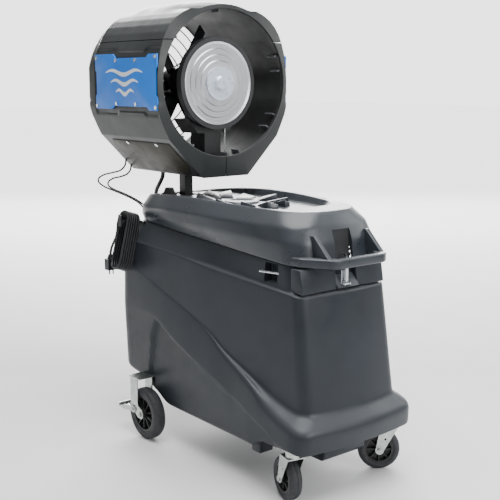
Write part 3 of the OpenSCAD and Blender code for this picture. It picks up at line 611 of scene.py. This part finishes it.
# near-black matt plastic standing in for shade: the latch pocket's back and the gaps round the facet covers
shade_mat = moulded_plastic("painted_shade_recess", (0.010, 0.011, 0.013), 0.7, top_light_share=0.0)
black_steel_mat = painted("black_steel", (0.016, 0.017, 0.018), 0.38)
zinc_mat = metal("zinc_plate", (0.52, 0.55, 0.53), 0.36, 0.16)
bright_mat = metal("bright_steel", (0.72, 0.74, 0.76), 0.20, 0.06)
disc_mat = spun_disc("spun_aluminium", (0.66, 0.68, 0.71), 0.30)
plate_mat = metal("cap_plate", (0.70, 0.76, 0.86), 0.34, 0.04, metallic=0.6)
blue_mat = painted("blue_enamel", (0.000, 0.165, 0.66), 0.42)
white_mat = painted("white_enamel", (0.72, 0.76, 0.80), 0.42)
red_mat = painted("red_rocker", (0.45, 0.02, 0.015), 0.25)
cord_mat = rubber("cord_rubber", (0.012, 0.013, 0.016), 0.42, 0.02)
tyre_mat = rubber("tyre_rubber", (0.022, 0.024, 0.028))
rim_mat = moulded_plastic("rim_nylon", (0.013, 0.013, 0.014), 0.42, top_light_share=0.05)
slinger_mat = moulded_plastic("slinger_black", (0.018, 0.019, 0.022), 0.40, top_light_share=0.02)
guard_mat = painted("guard_wire", (0.012, 0.012, 0.012), 0.45)


def paint(o, material):
    """Gives the whole piece one material."""
    o.data.materials.clear()
    o.data.materials.append(material)


for piece in cords:
    paint(piece, cord_mat)

NODE_MATERIALS = {
    "tank": body_mat, "lid": lid_mat, "shell_left": head_mat, "shell_right": head_mat, "shell_top": head_mat,
    "panel_left": blue_mat, "panel_right": blue_mat, "disc": disc_mat, "disc_cap": plate_mat,
    "slinger_ring": slinger_mat, "rear_guard": guard_mat, "rocker_switch": red_mat,
    "latch": bright_mat, "latch_base": bright_mat, "side_rod": bright_mat, "head_screws": bright_mat,
    "shaft": bright_mat, "feed_tube": bright_mat, "shell_latch": bright_mat,
    "mast": black_steel_mat, "mast_base": black_steel_mat,
    "head_frame": black_steel_mat, "motor": black_steel_mat,
    "pan_collar": zinc_mat, "lid_hinge": zinc_mat, "cord_bracket": black_mat, "plug": cord_mat,
}
for name, node in NODES.items():
    if name in NODE_MATERIALS:
        paint(node, NODE_MATERIALS[name])
    elif name.endswith("_tyre"):
        paint(node, tyre_mat)
    elif name.endswith("_rim"):
        paint(node, rim_mat)
    elif name.startswith(("caster_", "rear_")):
        paint(node, zinc_mat)
    else:
        paint(node, black_mat)


# ---------- tank ----------
# Heights over y of the lines round the tank, then its half widths over y at them (names in _W).

LEDGE = [(-0.515, 0.688), (-0.115, 0.720), (0.100, 0.741), (0.480, 0.764)]
RIM = [(-0.520, RIM_Z - 0.034), (0.480, RIM_Z + 0.031)]
CREST = [(-0.620, 0.294), (-0.511, 0.308), (-0.407, 0.337), (-0.299, 0.380), (-0.172, 0.438), (-0.078, 0.495),
         (0.200, 0.600), (0.480, 0.690)]
CREST_LOW = [(-0.660, 0.246), (-0.580, 0.262), (-0.454, 0.296), (-0.323, 0.369), (-0.172, 0.434),
             (-0.078, 0.491), (0.200, 0.590), (0.480, 0.680)]
SWOOSH = [(-0.600, 0.196), (-0.552, 0.208), (-0.478, 0.217), (-0.348, 0.262), (-0.210, 0.310),
          (-0.063, 0.361), (0.093, 0.420), (0.250, 0.492), (0.480, 0.500)]
NECK_W = [(-0.515, 0.188), (0.100, 0.198), (0.480, 0.200)]
NECK_LOW_W = [(-0.515, 0.192), (-0.100, 0.212), (0.060, 0.232), (0.480, 0.243)]
LEDGE_W = [(-0.540, 0.200), (-0.300, 0.214), (-0.100, 0.226), (0.060, 0.237), (0.480, 0.247)]
WAIST_W = [(-0.600, 0.214), (-0.400, 0.222), (-0.078, 0.238), (0.200, 0.250), (0.480, 0.256)]
BUMPER_W = [(-0.660, 0.266), (-0.560, 0.268), (-0.400, 0.256), (-0.230, 0.246), (-0.078, 0.242),
            (0.200, 0.252), (0.480, 0.257)]
SKIRT_W = [(-0.660, 0.270), (-0.560, 0.274), (-0.400, 0.265), (-0.230, 0.258), (-0.078, 0.258),
           (0.480, 0.260)]
UNDER = [(-0.700, 0.176), (-0.405, 0.172), (-0.330, 0.140), (0.165, 0.143), (0.235, 0.172), (0.336, 0.208),
         (0.372, 0.220), (0.424, 0.228), (0.482, 0.242)]
# outline of the sunk lower side panel, as (y, z)
PANEL = [(-0.470, 0.0), (-0.470, 0.212), (-0.348, 0.256), (-0.210, 0.304), (-0.063, 0.355), (0.093, 0.414),
         (0.225, 0.474), (0.262, 0.400), (0.300, 0.190), (0.300, 0.0)]


def inside_depth(polygon, p):
    """How far a point lies inside a polygon; negative outside."""
    best, inside = 1e9, False
    for (ax, ay), (bx, by) in zip(polygon, polygon[1:] + polygon[:1]):
        t = ((p[0] - ax) * (bx - ax) + (p[1] - ay) * (by - ay)) / ((bx - ax) ** 2 + (by - ay) ** 2)
        t = max(0.0, min(1.0, t))
        best = min(best, math.hypot(p[0] - ax - t * (bx - ax), p[1] - ay - t * (by - ay)))
        if (ay > p[1]) != (by > p[1]) and p[0] < (bx - ax) * (p[1] - ay) / (by - ay) + ax:
            inside = not inside
    return best if inside else -best


def recess_side(p):
    """Sinks the lower side panel under the swoosh."""
    x, y, z = p
    if x < 0.2 or z > 0.52 or y < -0.49 or y > 0.33:
        return p
    depth = inside_depth(PANEL, (y, z))
    plane = 0.247 - 0.0209 * y    # the panel's face, which narrows towards the rear
    return (lerp(x, min(x, plane), smooth(-0.001, 0.010, depth)), y, z)


def make_tank():
    """The tank's outside from the lid's seat down to its underside."""
    rings = [
        (-0.470, 0.446, 0.012, 0.050, 0.110, grown(NECK_W, -0.010), grown(RIM, -0.030)),
        (-0.471, 0.447, 0.012, 0.051, 0.112, grown(NECK_W, -0.009), RIM),
        (-0.484, 0.458, 0.012, 0.060, 0.130, NECK_W, RIM),
        (-0.496, 0.468, 0.010, 0.040, 0.084, NECK_LOW_W, LEDGE),
        (-0.524, 0.473, 0.016, 0.036, 0.066, LEDGE_W, grown(LEDGE, -0.005)),
        (-0.575, 0.478, 0.022, 0.044, 0.060, WAIST_W, CREST),
        (-0.612, 0.479, 0.028, 0.052, 0.060, BUMPER_W, CREST_LOW),
        (-0.606, 0.480, 0.024, 0.054, 0.060, SKIRT_W, SWOOSH),
        (-0.604, 0.480, 0.024, 0.054, 0.060, grown(SKIRT_W, -0.0005), grown(SWOOSH, -0.012)),
        (-0.545, 0.480, 0.024, 0.080, 0.060, grown(SKIRT_W, -0.010), grown(UNDER, 0.012)),
        (-0.522, 0.474, 0.018, 0.090, 0.060, grown(SKIRT_W, -0.024), UNDER),
    ]
    radii = [0, 0.002, 0.004, 0.010, 0.007, 0.014, 0.022, 0.010, 0.002, 0.012, 0]
    cuts = [2, 1, 4, 3, 16, 3, 3, 2, 26, 2]
    skin = moulded("tank_skin", rings, radii, cuts, 130, "last", recess_side)
    # one notch on each side, which the steel rod crosses
    for s in (-1, 1):
        x0, x1 = sorted((s * 0.163, s * 0.26))
        cut_block(skin, (x0, -0.410, 0.708), (x1, -0.346, 0.775), 0.004)
    shade(skin, 42)
    return skin


def make_tank_parts():
    """Cheeks of the latch bay, belly, feet and the deck that carries the mast."""
    parts = []
    for x0, x1 in ((-0.190, -0.034), (0.060, 0.188)):
        side = [(-0.528, 0.690), (-0.514, 0.771), (-0.470, 0.771), (-0.470, 0.690)]
        parts.append(prism("cheek", side, x0, x1, 0.004))
    parts.append(prism("bay_floor", [(-0.536, 0.694), (-0.500, 0.735), (-0.480, 0.735), (-0.480, 0.690)],
                       -0.036, 0.062, 0.003))
    parts.append(prism("belly", [(-0.545, 0.120), (-0.530, 0.105), (-0.355, 0.105), (-0.322, 0.130),
                                 (-0.322, 0.190), (-0.545, 0.190)], -0.098, 0.098, 0.008))
    for x in (-0.205, 0.205):
        parts.append(block("foot", (x - 0.030, -0.372, 0.118), (x + 0.030, -0.326, 0.160), 0.005))
    parts.append(block("mast_deck", (-0.190, 0.318, 0.705), (0.190, 0.440, 0.800), 0.004))
    return join("tank_blocks", parts)


tank_skin = make_tank()
tank_blocks = make_tank_parts()
for o in (tank_skin, tank_blocks):
    paint(o, body_mat)
    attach(o, "cart")
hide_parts("tank")
shade(tank_blocks, 40)


# ---------- lid ----------
# Half widths over y (names in _W) and heights over y of the lines round the lid.

LID_LOW_W = [(-0.500, 0.192), (-0.370, 0.198), (-0.200, 0.203), (0.100, 0.206), (0.300, 0.204),
             (0.480, 0.200)]
LID_MID_W = [(-0.500, 0.190), (-0.370, 0.206), (-0.285, 0.216), (-0.035, 0.234), (0.150, 0.236),
             (0.300, 0.222), (0.480, 0.204)]
LID_CREASE_W = [(-0.500, 0.182), (-0.455, 0.186), (-0.370, 0.193), (-0.285, 0.210), (-0.035, 0.237),
                (0.150, 0.238), (0.300, 0.220), (0.480, 0.198)]
LID_RIM_W = [(-0.500, 0.140), (-0.455, 0.150), (-0.370, 0.163), (-0.285, 0.182), (-0.035, 0.212),
             (0.150, 0.214), (0.300, 0.196), (0.480, 0.172)]
LID_RIM = [(-0.500, LID_TOP - 0.012), (0.060, LID_TOP), (0.300, LID_TOP - 0.012), (0.480, LID_TOP - 0.034)]
LID_EDGE = [(-0.500, LID_CREASE), (0.100, LID_CREASE), (0.480, LID_CREASE - 0.012)]
DECK_Z = LID_TOP - DECK
DECK_EDGE = [(-0.500, DECK_Z + 0.002), (0.480, DECK_Z + 0.001)]
LID_MID = [(-0.500, 0.850), (0.480, 0.862)]
LID_INSIDE = [(-0.500, 0.852), (0.480, 0.862)]


def make_lid():
    """The lid from the edge of its sunk deck, over the rim and down to its seat."""
    rings = [
        (-0.300, 0.385, 0.020, 0.070, 0.110, grown(LID_RIM_W, -0.060), DECK_EDGE),
        (-0.314, 0.396, 0.020, 0.070, 0.110, grown(LID_RIM_W, -0.036), DECK_EDGE),
        (-0.330, 0.404, 0.022, 0.070, 0.110, grown(LID_RIM_W, -0.024), grown(LID_RIM, -0.004)),
        (-0.440, 0.440, 0.026, 0.090, 0.120, grown(LID_RIM_W, -0.005), LID_RIM),
        (-0.446, 0.444, 0.028, 0.090, 0.120, LID_RIM_W, grown(LID_RIM, -0.007)),
        (-0.470, 0.456, 0.028, 0.080, 0.130, LID_CREASE_W, LID_EDGE),
        (-0.492, 0.458, 0.026, 0.074, 0.130, LID_MID_W, LID_MID),
        (-0.502, 0.456, 0.024, 0.070, 0.130, LID_LOW_W, grown(RIM, 0.003)),
        (-0.494, 0.448, 0.024, 0.070, 0.124, grown(LID_LOW_W, -0.008), grown(RIM, 0.004)),
        (-0.480, 0.446, 0.020, 0.066, 0.120, grown(LID_LOW_W, -0.012), LID_INSIDE),
    ]
    radii = [0, 0.004, 0.006, 0.006, 0.005, 0.010, 0.012, 0.003, 0.002, 0]
    skin = moulded("lid_skin", rings, radii, [1, 2, 6, 1, 5, 4, 6, 1, 2], 90, "first")
    cut_block(skin, (-0.030, 0.318, 0.850), (0.030, 0.408, 1.000))      # slot for the mast
    cut_block(skin, (-0.040, -0.560, 0.765), (0.040, -0.500, 0.886))    # pocket for the latch
    shade(skin, 38)
    return skin


def make_handle():
    """The bar round the front and its two arms."""
    right = [(0.100, -0.610), (0.122, -0.598), (0.183, -0.505), (0.190, -0.450),
             (0.150, -0.470), (0.128, -0.520), (0.086, -0.580)]
    left = [(-x, y) for x, y in reversed(right)]
    loop = left[3:] + right + left[:3]
    bar = between("bar", [(x, y, 0.777) for x, y in loop], [(x, y, 0.808) for x, y in loop])
    parts = [bevelled(bar, 0.0065, 4, 25)]
    arm = [(-0.592, 0.782), (-0.588, 0.802), (-0.512, 0.876), (-0.486, 0.876), (-0.486, 0.782)]
    for x in (-0.120, 0.120):
        parts.append(prism("arm", arm, x - 0.009, x + 0.009, 0.004))
    return join("lid_handle", parts)


def make_pocket():
    """Back of the latch pocket, painted near-black as shade."""
    back = [(-0.5075, 0.775), (-0.500, 0.886), (-0.492, 0.886), (-0.499, 0.775)]
    return prism("latch_pocket", back, -0.040, 0.040, 0)


HINGE_Y = 0.462        # the lid's hinge
LIFT = math.radians(12)
HEAD_FRONT_Y = 0.090   # the head hangs over the deck behind this
WEDGES = 11
DECK_Y = 0.020         # middle of the ring of wedges


def under_head(y):
    """About the highest place on the deck that the head leaves free when the lid is lifted."""
    return 1.004 - (HINGE_Y - y) * math.tan(LIFT) if y > HEAD_FRONT_Y else 1.0


def make_deck_blocks():
    """Raised wedges set round the deck like a turbine, and the well in its middle."""
    outline = [(0.082, -0.010), (0.146, -0.030), (0.152, 0.012), (0.096, 0.030)]
    heights = (0.006, 0.028, 0.016, 0.003)
    parts = []
    for i in range(WEDGES):
        a = 2 * math.pi * i / WEDGES
        c, s = math.cos(a), math.sin(a)
        base = [(0.95 * (x * c - y * s), DECK_Y + 1.45 * (x * s + y * c)) for x, y in outline]
        top = [(x * 0.97, y * 0.985, min(DECK_Z + h, under_head(y))) for (x, y), h in zip(base, heights)]
        parts.append(bevelled(between("wedge", [(x, y, DECK_Z - 0.002) for x, y in base], top), 0.0025, 2))
    well = [(0.0, 0.004), (0.050, 0.004), (0.056, 0.009), (0.062, 0.009), (0.068, 0.001)]
    parts.append(turned("well", well, (0, DECK_Y, DECK_Z), 64))
    return join("deck_wedges", parts)


lid_skin = make_lid()
lid_handle = make_handle()
latch_pocket = make_pocket()
deck_wedges = make_deck_blocks()
for o in (lid_skin, lid_handle, latch_pocket, deck_wedges):
    # the latch pocket's back gets the near-black painted shade
    paint(o, shade_mat if o == latch_pocket else lid_mat)
    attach(o, "lid")
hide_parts("lid")
shade(lid_handle, 40)
shade(deck_wedges, 40)


# ---------- head ----------

# the outline that crown and base add to the head's round drum, as (x, height above the axis)
CROWN = [(0.150, 0.264), (0.185, 0.250), (0.215, 0.232), (0.240, 0.208), (0.260, 0.180), (0.274, 0.150),
         (0.287, 0.108), (0.296, 0.058), (0.299, 0.012), (0.299, -0.034), (0.292, -0.084), (0.277, -0.131),
         (0.252, -0.181)]
BASE = [(REACH - (FAN_Z - FLAT_Z), FLAT_Z - FAN_Z), (0.252, 0.252 - REACH), (0.272, -0.160), (0.290, -0.122),
        (0.299, -0.092), (0.299, -0.070)]
# the drum's radius over the distance behind its front
DRUM = [(0.000, DRUM_R - 0.002), (0.008, DRUM_R), (0.090, DRUM_R + SWELL * 0.7), (0.200, DRUM_R + SWELL),
        (0.320, DRUM_R + SWELL), (0.430, DRUM_R + SWELL * 0.75), (0.492, DRUM_R + 0.008),
        (0.500, DRUM_R + 0.004)]
# the sunk field round the side panel, as (y, height above the axis)
FIELD = [(0.124, -0.118), (0.124, 0.128), (0.205, 0.128), (0.222, 0.116), (0.392, 0.116), (0.408, 0.128),
         (0.560, 0.128), (0.560, -0.118), (0.408, -0.118), (0.392, -0.106), (0.222, -0.106), (0.205, -0.118)]
FIELD_DEPTH = 0.0045
WALL = 0.010
SHELL_STEPS = 96       # rows along the head


def reach_of(polygon, a):
    """Distance from the axis to a mirrored polygon's far side at angle a."""
    dx, dz = math.cos(a), math.sin(a)
    loop = polygon + [(-x, z) for x, z in reversed(polygon)]
    best = 0.0
    for (ax, az), (bx, bz) in zip(loop, loop[1:] + loop[:1]):
        ex, ez = bx - ax, bz - az
        cross = dx * ez - dz * ex
        if abs(cross) < 1e-12:
            continue
        t = (ax * ez - az * ex) / cross
        u = (ax * dz - az * dx) / cross
        if t > best and -1e-9 <= u <= 1 + 1e-9:
            best = t
    return best


def soft_max(a, b, k):
    """The larger of two lengths, rounded over where they are within k of each other."""
    h = max(0.0, min(1.0, 0.5 + 0.5 * (a - b) / k))
    return lerp(b, a, h) + k * h * (1 - h)


ANGLES = sorted({round(2 * math.pi * i / 360, 6) for i in range(360)}
                | {round(math.atan2(z, s * x) % (2 * math.pi), 6) for x, z in BASE[:2] for s in (-1, 1)})


def drum_radius(a, y):
    """Radius of the swelling drum, a little wider than tall, at angle a."""
    r = lookup(DRUM, y - DRUM_Y0)
    return 1 / math.hypot(math.cos(a) / (r * STRETCH), math.sin(a) / r)


def head_radius(a, y):
    """Distance of the head's outside from its axis."""
    r = drum_radius(a, y)
    fade = 1 - smooth(DRUM_Y1 - 0.060, DRUM_Y1 - 0.030, y)
    crown = reach_of(CROWN, a)
    if crown > 0:
        r = lerp(r, soft_max(r, crown, 0.006), fade)
    base = reach_of(BASE, a)
    if base > 0 and math.sin(a) < 0:
        r = max(r, base)
    if abs(math.cos(a)) > 1e-6:
        r = min(r, SIDE_X / abs(math.cos(a)))
    return r


def side_step(a, y, r):
    """A radius, less the sunk field round the side panels."""
    x, z = r * math.cos(a), r * math.sin(a)
    if abs(x) < 0.25:
        return r
    return r - FIELD_DEPTH * smooth(-0.001, 0.004, inside_depth(FIELD, (y, z)))


def shell_section(a):
    """The wall's closed section at angle a: forwards inside, round the mouth's lip, and back outside."""
    mouth = 1 / math.hypot(math.cos(a) / (MOUTH_R * STRETCH), math.sin(a) / MOUTH_R)
    side = SIDE_X / max(abs(math.cos(a)), 1e-6)
    back = DRUM_Y1 - 0.012
    front = head_radius(a, DRUM_Y0 + 0.003)
    rear = head_radius(a, back)
    path = [(min(drum_radius(a, y), side) - WALL, y) for y in (back, 0.400, DRUM_Y0 + 0.060, DRUM_Y0 + 0.018)]
    inner_rear = path[0][0]
    path += [(mouth + 0.001, DRUM_Y0 + 0.016), (mouth, DRUM_Y0 + 0.014), (mouth, DRUM_Y0 + 0.004),
             (mouth + 0.001, DRUM_Y0 + 0.001), (mouth + 0.003, DRUM_Y0), (mouth + 0.005, DRUM_Y0 + 0.0005),
             (front - 0.001, DRUM_Y0 + 0.0052), (front + 0.0012, DRUM_Y0 + 0.0058),
             (front + 0.0022, DRUM_Y0 + 0.0062), (front + 0.0010, DRUM_Y0 + 0.0070)]
    for i in range(SHELL_STEPS + 1):
        y = lerp(DRUM_Y0 + 0.0075, back, i / SHELL_STEPS)
        path.append((side_step(a, y, head_radius(a, y)), y))
    path += [(rear - 0.003, DRUM_Y1 - 0.002), (rear - 0.008, DRUM_Y1), (rear - 0.016, DRUM_Y1 - 0.001),
             (inner_rear, DRUM_Y1 - 0.010)]
    return path


def away(f):
    """How far a face's normal points away from the head's axis."""
    p = f.calc_center_median()
    return f.normal.x * p.x + f.normal.z * (p.z - FAN_Z)


def outwards(f):
    """Whether a face is on the outer wall or the front of the lip."""
    return away(f) > 0.001 or (f.calc_center_median().y < DRUM_Y0 + 0.012 and f.normal.y < -0.3)


def slit(bm, point, normal, half, wanted):
    """Opens a seam of twice the given half width in the wanted faces along a plane."""
    point, normal = Vector(point), Vector(normal)
    for d in (-half, half):
        geometry = bm.verts[:] + bm.edges[:] + bm.faces[:]
        bmesh.ops.bisect_plane(bm, geom=geometry, plane_co=point + normal * d, plane_no=normal)
    doomed = [f for f in bm.faces if abs((f.calc_center_median() - point).dot(normal)) < half and wanted(f)]
    bmesh.ops.delete(bm, geom=doomed, context="FACES")


def make_head_shell():
    """The head's three shells as one wall, with the seams between them and its inside painted darker as
    shade.
    """
    columns = [[(r * math.cos(a), y, FAN_Z + r * math.sin(a)) for r, y in shell_section(a)] for a in ANGLES]
    rows, n = len(columns[0]), len(columns)
    verts = [p for column in columns for p in column]
    faces = []
    for i in range(n):
        here, there = i * rows, (i + 1) % n * rows
        faces += [(here + k, there + k, there + (k + 1) % rows, here + (k + 1) % rows) for k in range(rows)]
    o = new_object("head_shell", verts, faces)
    bm = bmesh.new()
    bm.from_mesh(o.data)
    # only the outer wall is cut, so the inner wall closes each seam behind it
    slit(bm, (0, 0, CAP_Z), (0, 0, 1), 0.0013, outwards)
    slit(bm, (0, 0, 0), (1, 0, 0), 0.0012, lambda f: f.calc_center_median().z < FAN_Z and outwards(f))
    for f in bm.faces:
        p = f.calc_center_median()
        in_drum = math.hypot(p.x / STRETCH, p.z - FAN_Z) < DRUM_R + SWELL and p.y > DRUM_Y0 + 0.010
        # inward faces within the drum take the darker copy of the head plastic: painted shade
        f.material_index = 1 if away(f) < 0 and in_drum else 0
    bm.to_mesh(o.data)
    bm.free()
    shade(o, 34)
    for material in (head_mat, inside_shade_mat):
        o.data.materials.append(material)
    return o


def make_mouth_ribs():
    """Stiffening ribs inside the mouth."""
    parts = []
    for i in range(13):
        a = math.radians(22 - 24 * i + 12 * (i % 2))
        low, high = (MOUTH_R - 0.012, DRUM_Y0 + 0.016, -0.003), (DRUM_R - 0.006, DRUM_Y0 + 0.062, 0.003)
        o = block("rib", low, high, 0.001)
        o.matrix_world = (Matrix.Translation((0, 0, FAN_Z)) @ Matrix.Diagonal((STRETCH, 1, 1, 1))
                          @ Matrix.Rotation(-a, 4, "Y"))
        parts.append(o)
    return join("mouth_ribs", parts)


def make_side_panel(side):
    """Stepped blue panel."""
    outline = [(0.120, 1.462), (0.176, 1.462), (0.192, 1.450), (0.400, 1.450), (0.418, 1.466), (0.550, 1.466),
               (0.550, 1.408), (0.542, 1.398), (0.542, 1.318), (0.550, 1.308), (0.550, 1.262), (0.430, 1.262),
               (0.414, 1.274), (0.192, 1.274), (0.176, 1.262), (0.120, 1.262), (0.120, 1.306), (0.128, 1.316),
               (0.128, 1.408), (0.120, 1.418)]
    low, high = sorted((side * 0.2955, side * PANEL_X))
    plate = prism(f"side_plate_{SIDE_NAMES[side]}", outline, low, high, 0.0012)
    paint(plate, blue_mat)
    return plate


def make_waves(side):
    """Three plain wavy stripes, in relief on the side panel."""
    verts, faces = [], []
    outer, inner = side * (PANEL_X + 0.00015), side * (PANEL_X - 0.0004)
    steps = 40
    for row in range(3):
        z0, y0, y1 = 1.398 - 0.036 * row, 0.215 + 0.03 * row, 0.470 - 0.035 * row
        for i in range(steps + 1):
            t = i / steps
            y = lerp(y0, y1, t)
            mid = z0 + 0.008 * math.sin(2 * math.pi * 1.5 * t)
            half = 0.0078 * math.sin(math.pi * (0.08 + 0.84 * t))
            new = len(verts)
            old = new - 4
            verts += [(x, y, z) for x in (outer, inner) for z in (mid - half, mid + half)]
            if i:
                faces += [(old, new, new + 1, old + 1), (old + 2, old + 3, new + 3, new + 2),
                          (old, old + 2, new + 2, new), (old + 1, new + 1, new + 3, old + 3)]
            if i in (0, steps):
                faces.append((new, new + 1, new + 3, new + 2))
    waves = new_object(f"waves_{SIDE_NAMES[side]}", verts, faces)
    paint(waves, white_mat)
    return waves


def make_facet_plate(side):
    """Olive cover set into the 45 degree facet, with the gap round it painted near-black as shade."""
    diagonal = math.sqrt(0.5)
    # points are (y, distance down the slope from its upper edge)
    outline = [(0.150, 0.024), (0.540, 0.024), (0.560, 0.060), (0.545, 0.190), (0.190, 0.190), (0.150, 0.140)]
    mid_y, mid_d = (sum(values) / len(outline) for values in zip(*outline))

    def lifted(points, lift):
        return [(side * (0.252 - (d - lift) * diagonal), y, FAN_Z - 0.200 - (d + lift) * diagonal)
                for y, d in points]

    parts = []
    # the gap is a near-black slab under the cover, just proud of the facet: painted shade
    for name, grow, lift, material in (("gap", 0.0035, 0.0006, shade_mat), ("cover", 0.0, 0.0022, facet_mat)):
        points = [(y + math.copysign(grow, y - mid_y), d + math.copysign(grow, d - mid_d))
                  for y, d in outline]
        o = between(f"facet_{name}_{SIDE_NAMES[side]}", lifted(points, -0.004), lifted(points, lift))
        if name == "cover":
            bevelled(o, 0.001, 2)
        paint(o, material)
        parts.append(o)
    return parts


head_shell, mouth_ribs = make_head_shell(), make_mouth_ribs()
paint(mouth_ribs, rib_mat)
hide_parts("shell_left", "shell_right", "shell_top")
head_pieces = [(head_shell, "head_plastic"), (mouth_ribs, "head_plastic")]
for side, side_name in SIDE_NAMES.items():
    plate, waves = make_side_panel(side), make_waves(side)
    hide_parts(f"panel_{side_name}")
    head_pieces += [(plate, "panel_blue"), (waves, "panel_blue")]
    head_pieces += [(o, "head_plastic") for o in make_facet_plate(side)]
for o, slot_name in head_pieces:
    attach(o, "head")


# ---------- stage ----------

BEHIND = (0.63, 0.776, 0.0)    # level direction of the backdrop
WHITE = (1, 1, 1, 1)
LIGHTS = [                     # name, place, size, power
    ("top", (-0.3, -0.6, 3.8), (3.0, 3.0), 190),
    ("front", (0.4, -4.3, 2.3), (2.4, 2.0), 110),
    ("right", (3.4, -1.6, 2.2), (2.0, 2.0), 40),
    ("backdrop", (4.2, 5.4, 3.6), (7.0, 2.4), 700),
]
AIM = Vector((0, 0, 0.7))


def make_floor():
    """A wide pale floor whose far part glows like the backdrop, so no edge shows between them."""
    half = 40
    floor = new_object("floor", [(-half, -half, 0), (half, -half, 0), (half, half, 0), (-half, half, 0)],
                       [(0, 1, 2, 3)])
    n = Nodes("pale_floor")
    along = n.add("ShaderNodeVectorMath", operation="DOT_PRODUCT")
    along.inputs[1].default_value = BEHIND
    n.link(n.place, along.inputs[0])
    n.link(n.ramp(along.outputs["Value"], 0.9, 7.0, 0.0, 2.3), n.shader.inputs["Emission Strength"])
    n.shader.inputs["Emission Color"].default_value = WHITE
    colour = n.mix(n.ramp(n.noise(1.5), 0.3, 0.7, 0, 1), (0.84, 0.84, 0.84), (0.88, 0.88, 0.88))
    paint(floor, n.finish(colour, n.ramp(n.noise(4), 0.3, 0.7, 0.7, 0.85)))


def make_studio():
    """A soft white surround, brighter behind the object."""
    world = bpy.data.worlds.new("studio")
    bpy.context.scene.world = world
    world.use_nodes = True
    tree = world.node_tree
    place = tree.nodes.new("ShaderNodeTexCoord")
    along = tree.nodes.new("ShaderNodeVectorMath")
    along.operation = "DOT_PRODUCT"
    along.inputs[1].default_value = BEHIND
    glow = tree.nodes.new("ShaderNodeMapRange")
    for key, v in (("From Min", 0.74), ("From Max", 0.92), ("To Min", 0.34), ("To Max", 3.0)):
        glow.inputs[key].default_value = v
    tree.links.new(place.outputs["Generated"], along.inputs[0])
    tree.links.new(along.outputs["Value"], glow.inputs["Value"])
    tree.links.new(glow.outputs["Result"], tree.nodes["Background"].inputs["Strength"])
    tree.nodes["Background"].inputs["Color"].default_value = WHITE


def make_lights():
    """Soft area lights, all aimed at the object's middle."""
    for name, place, size, power in LIGHTS:
        light = bpy.data.lights.new(name, "AREA")
        light.shape = "RECTANGLE"
        light.size, light.size_y = size
        light.energy = power
        o = bpy.data.objects.new(name, light)
        o.location = place
        o.rotation_euler = (AIM - Vector(place)).to_track_quat("-Z", "Y").to_euler()
        bpy.context.scene.collection.objects.link(o)


make_floor()
make_studio()
make_lights()
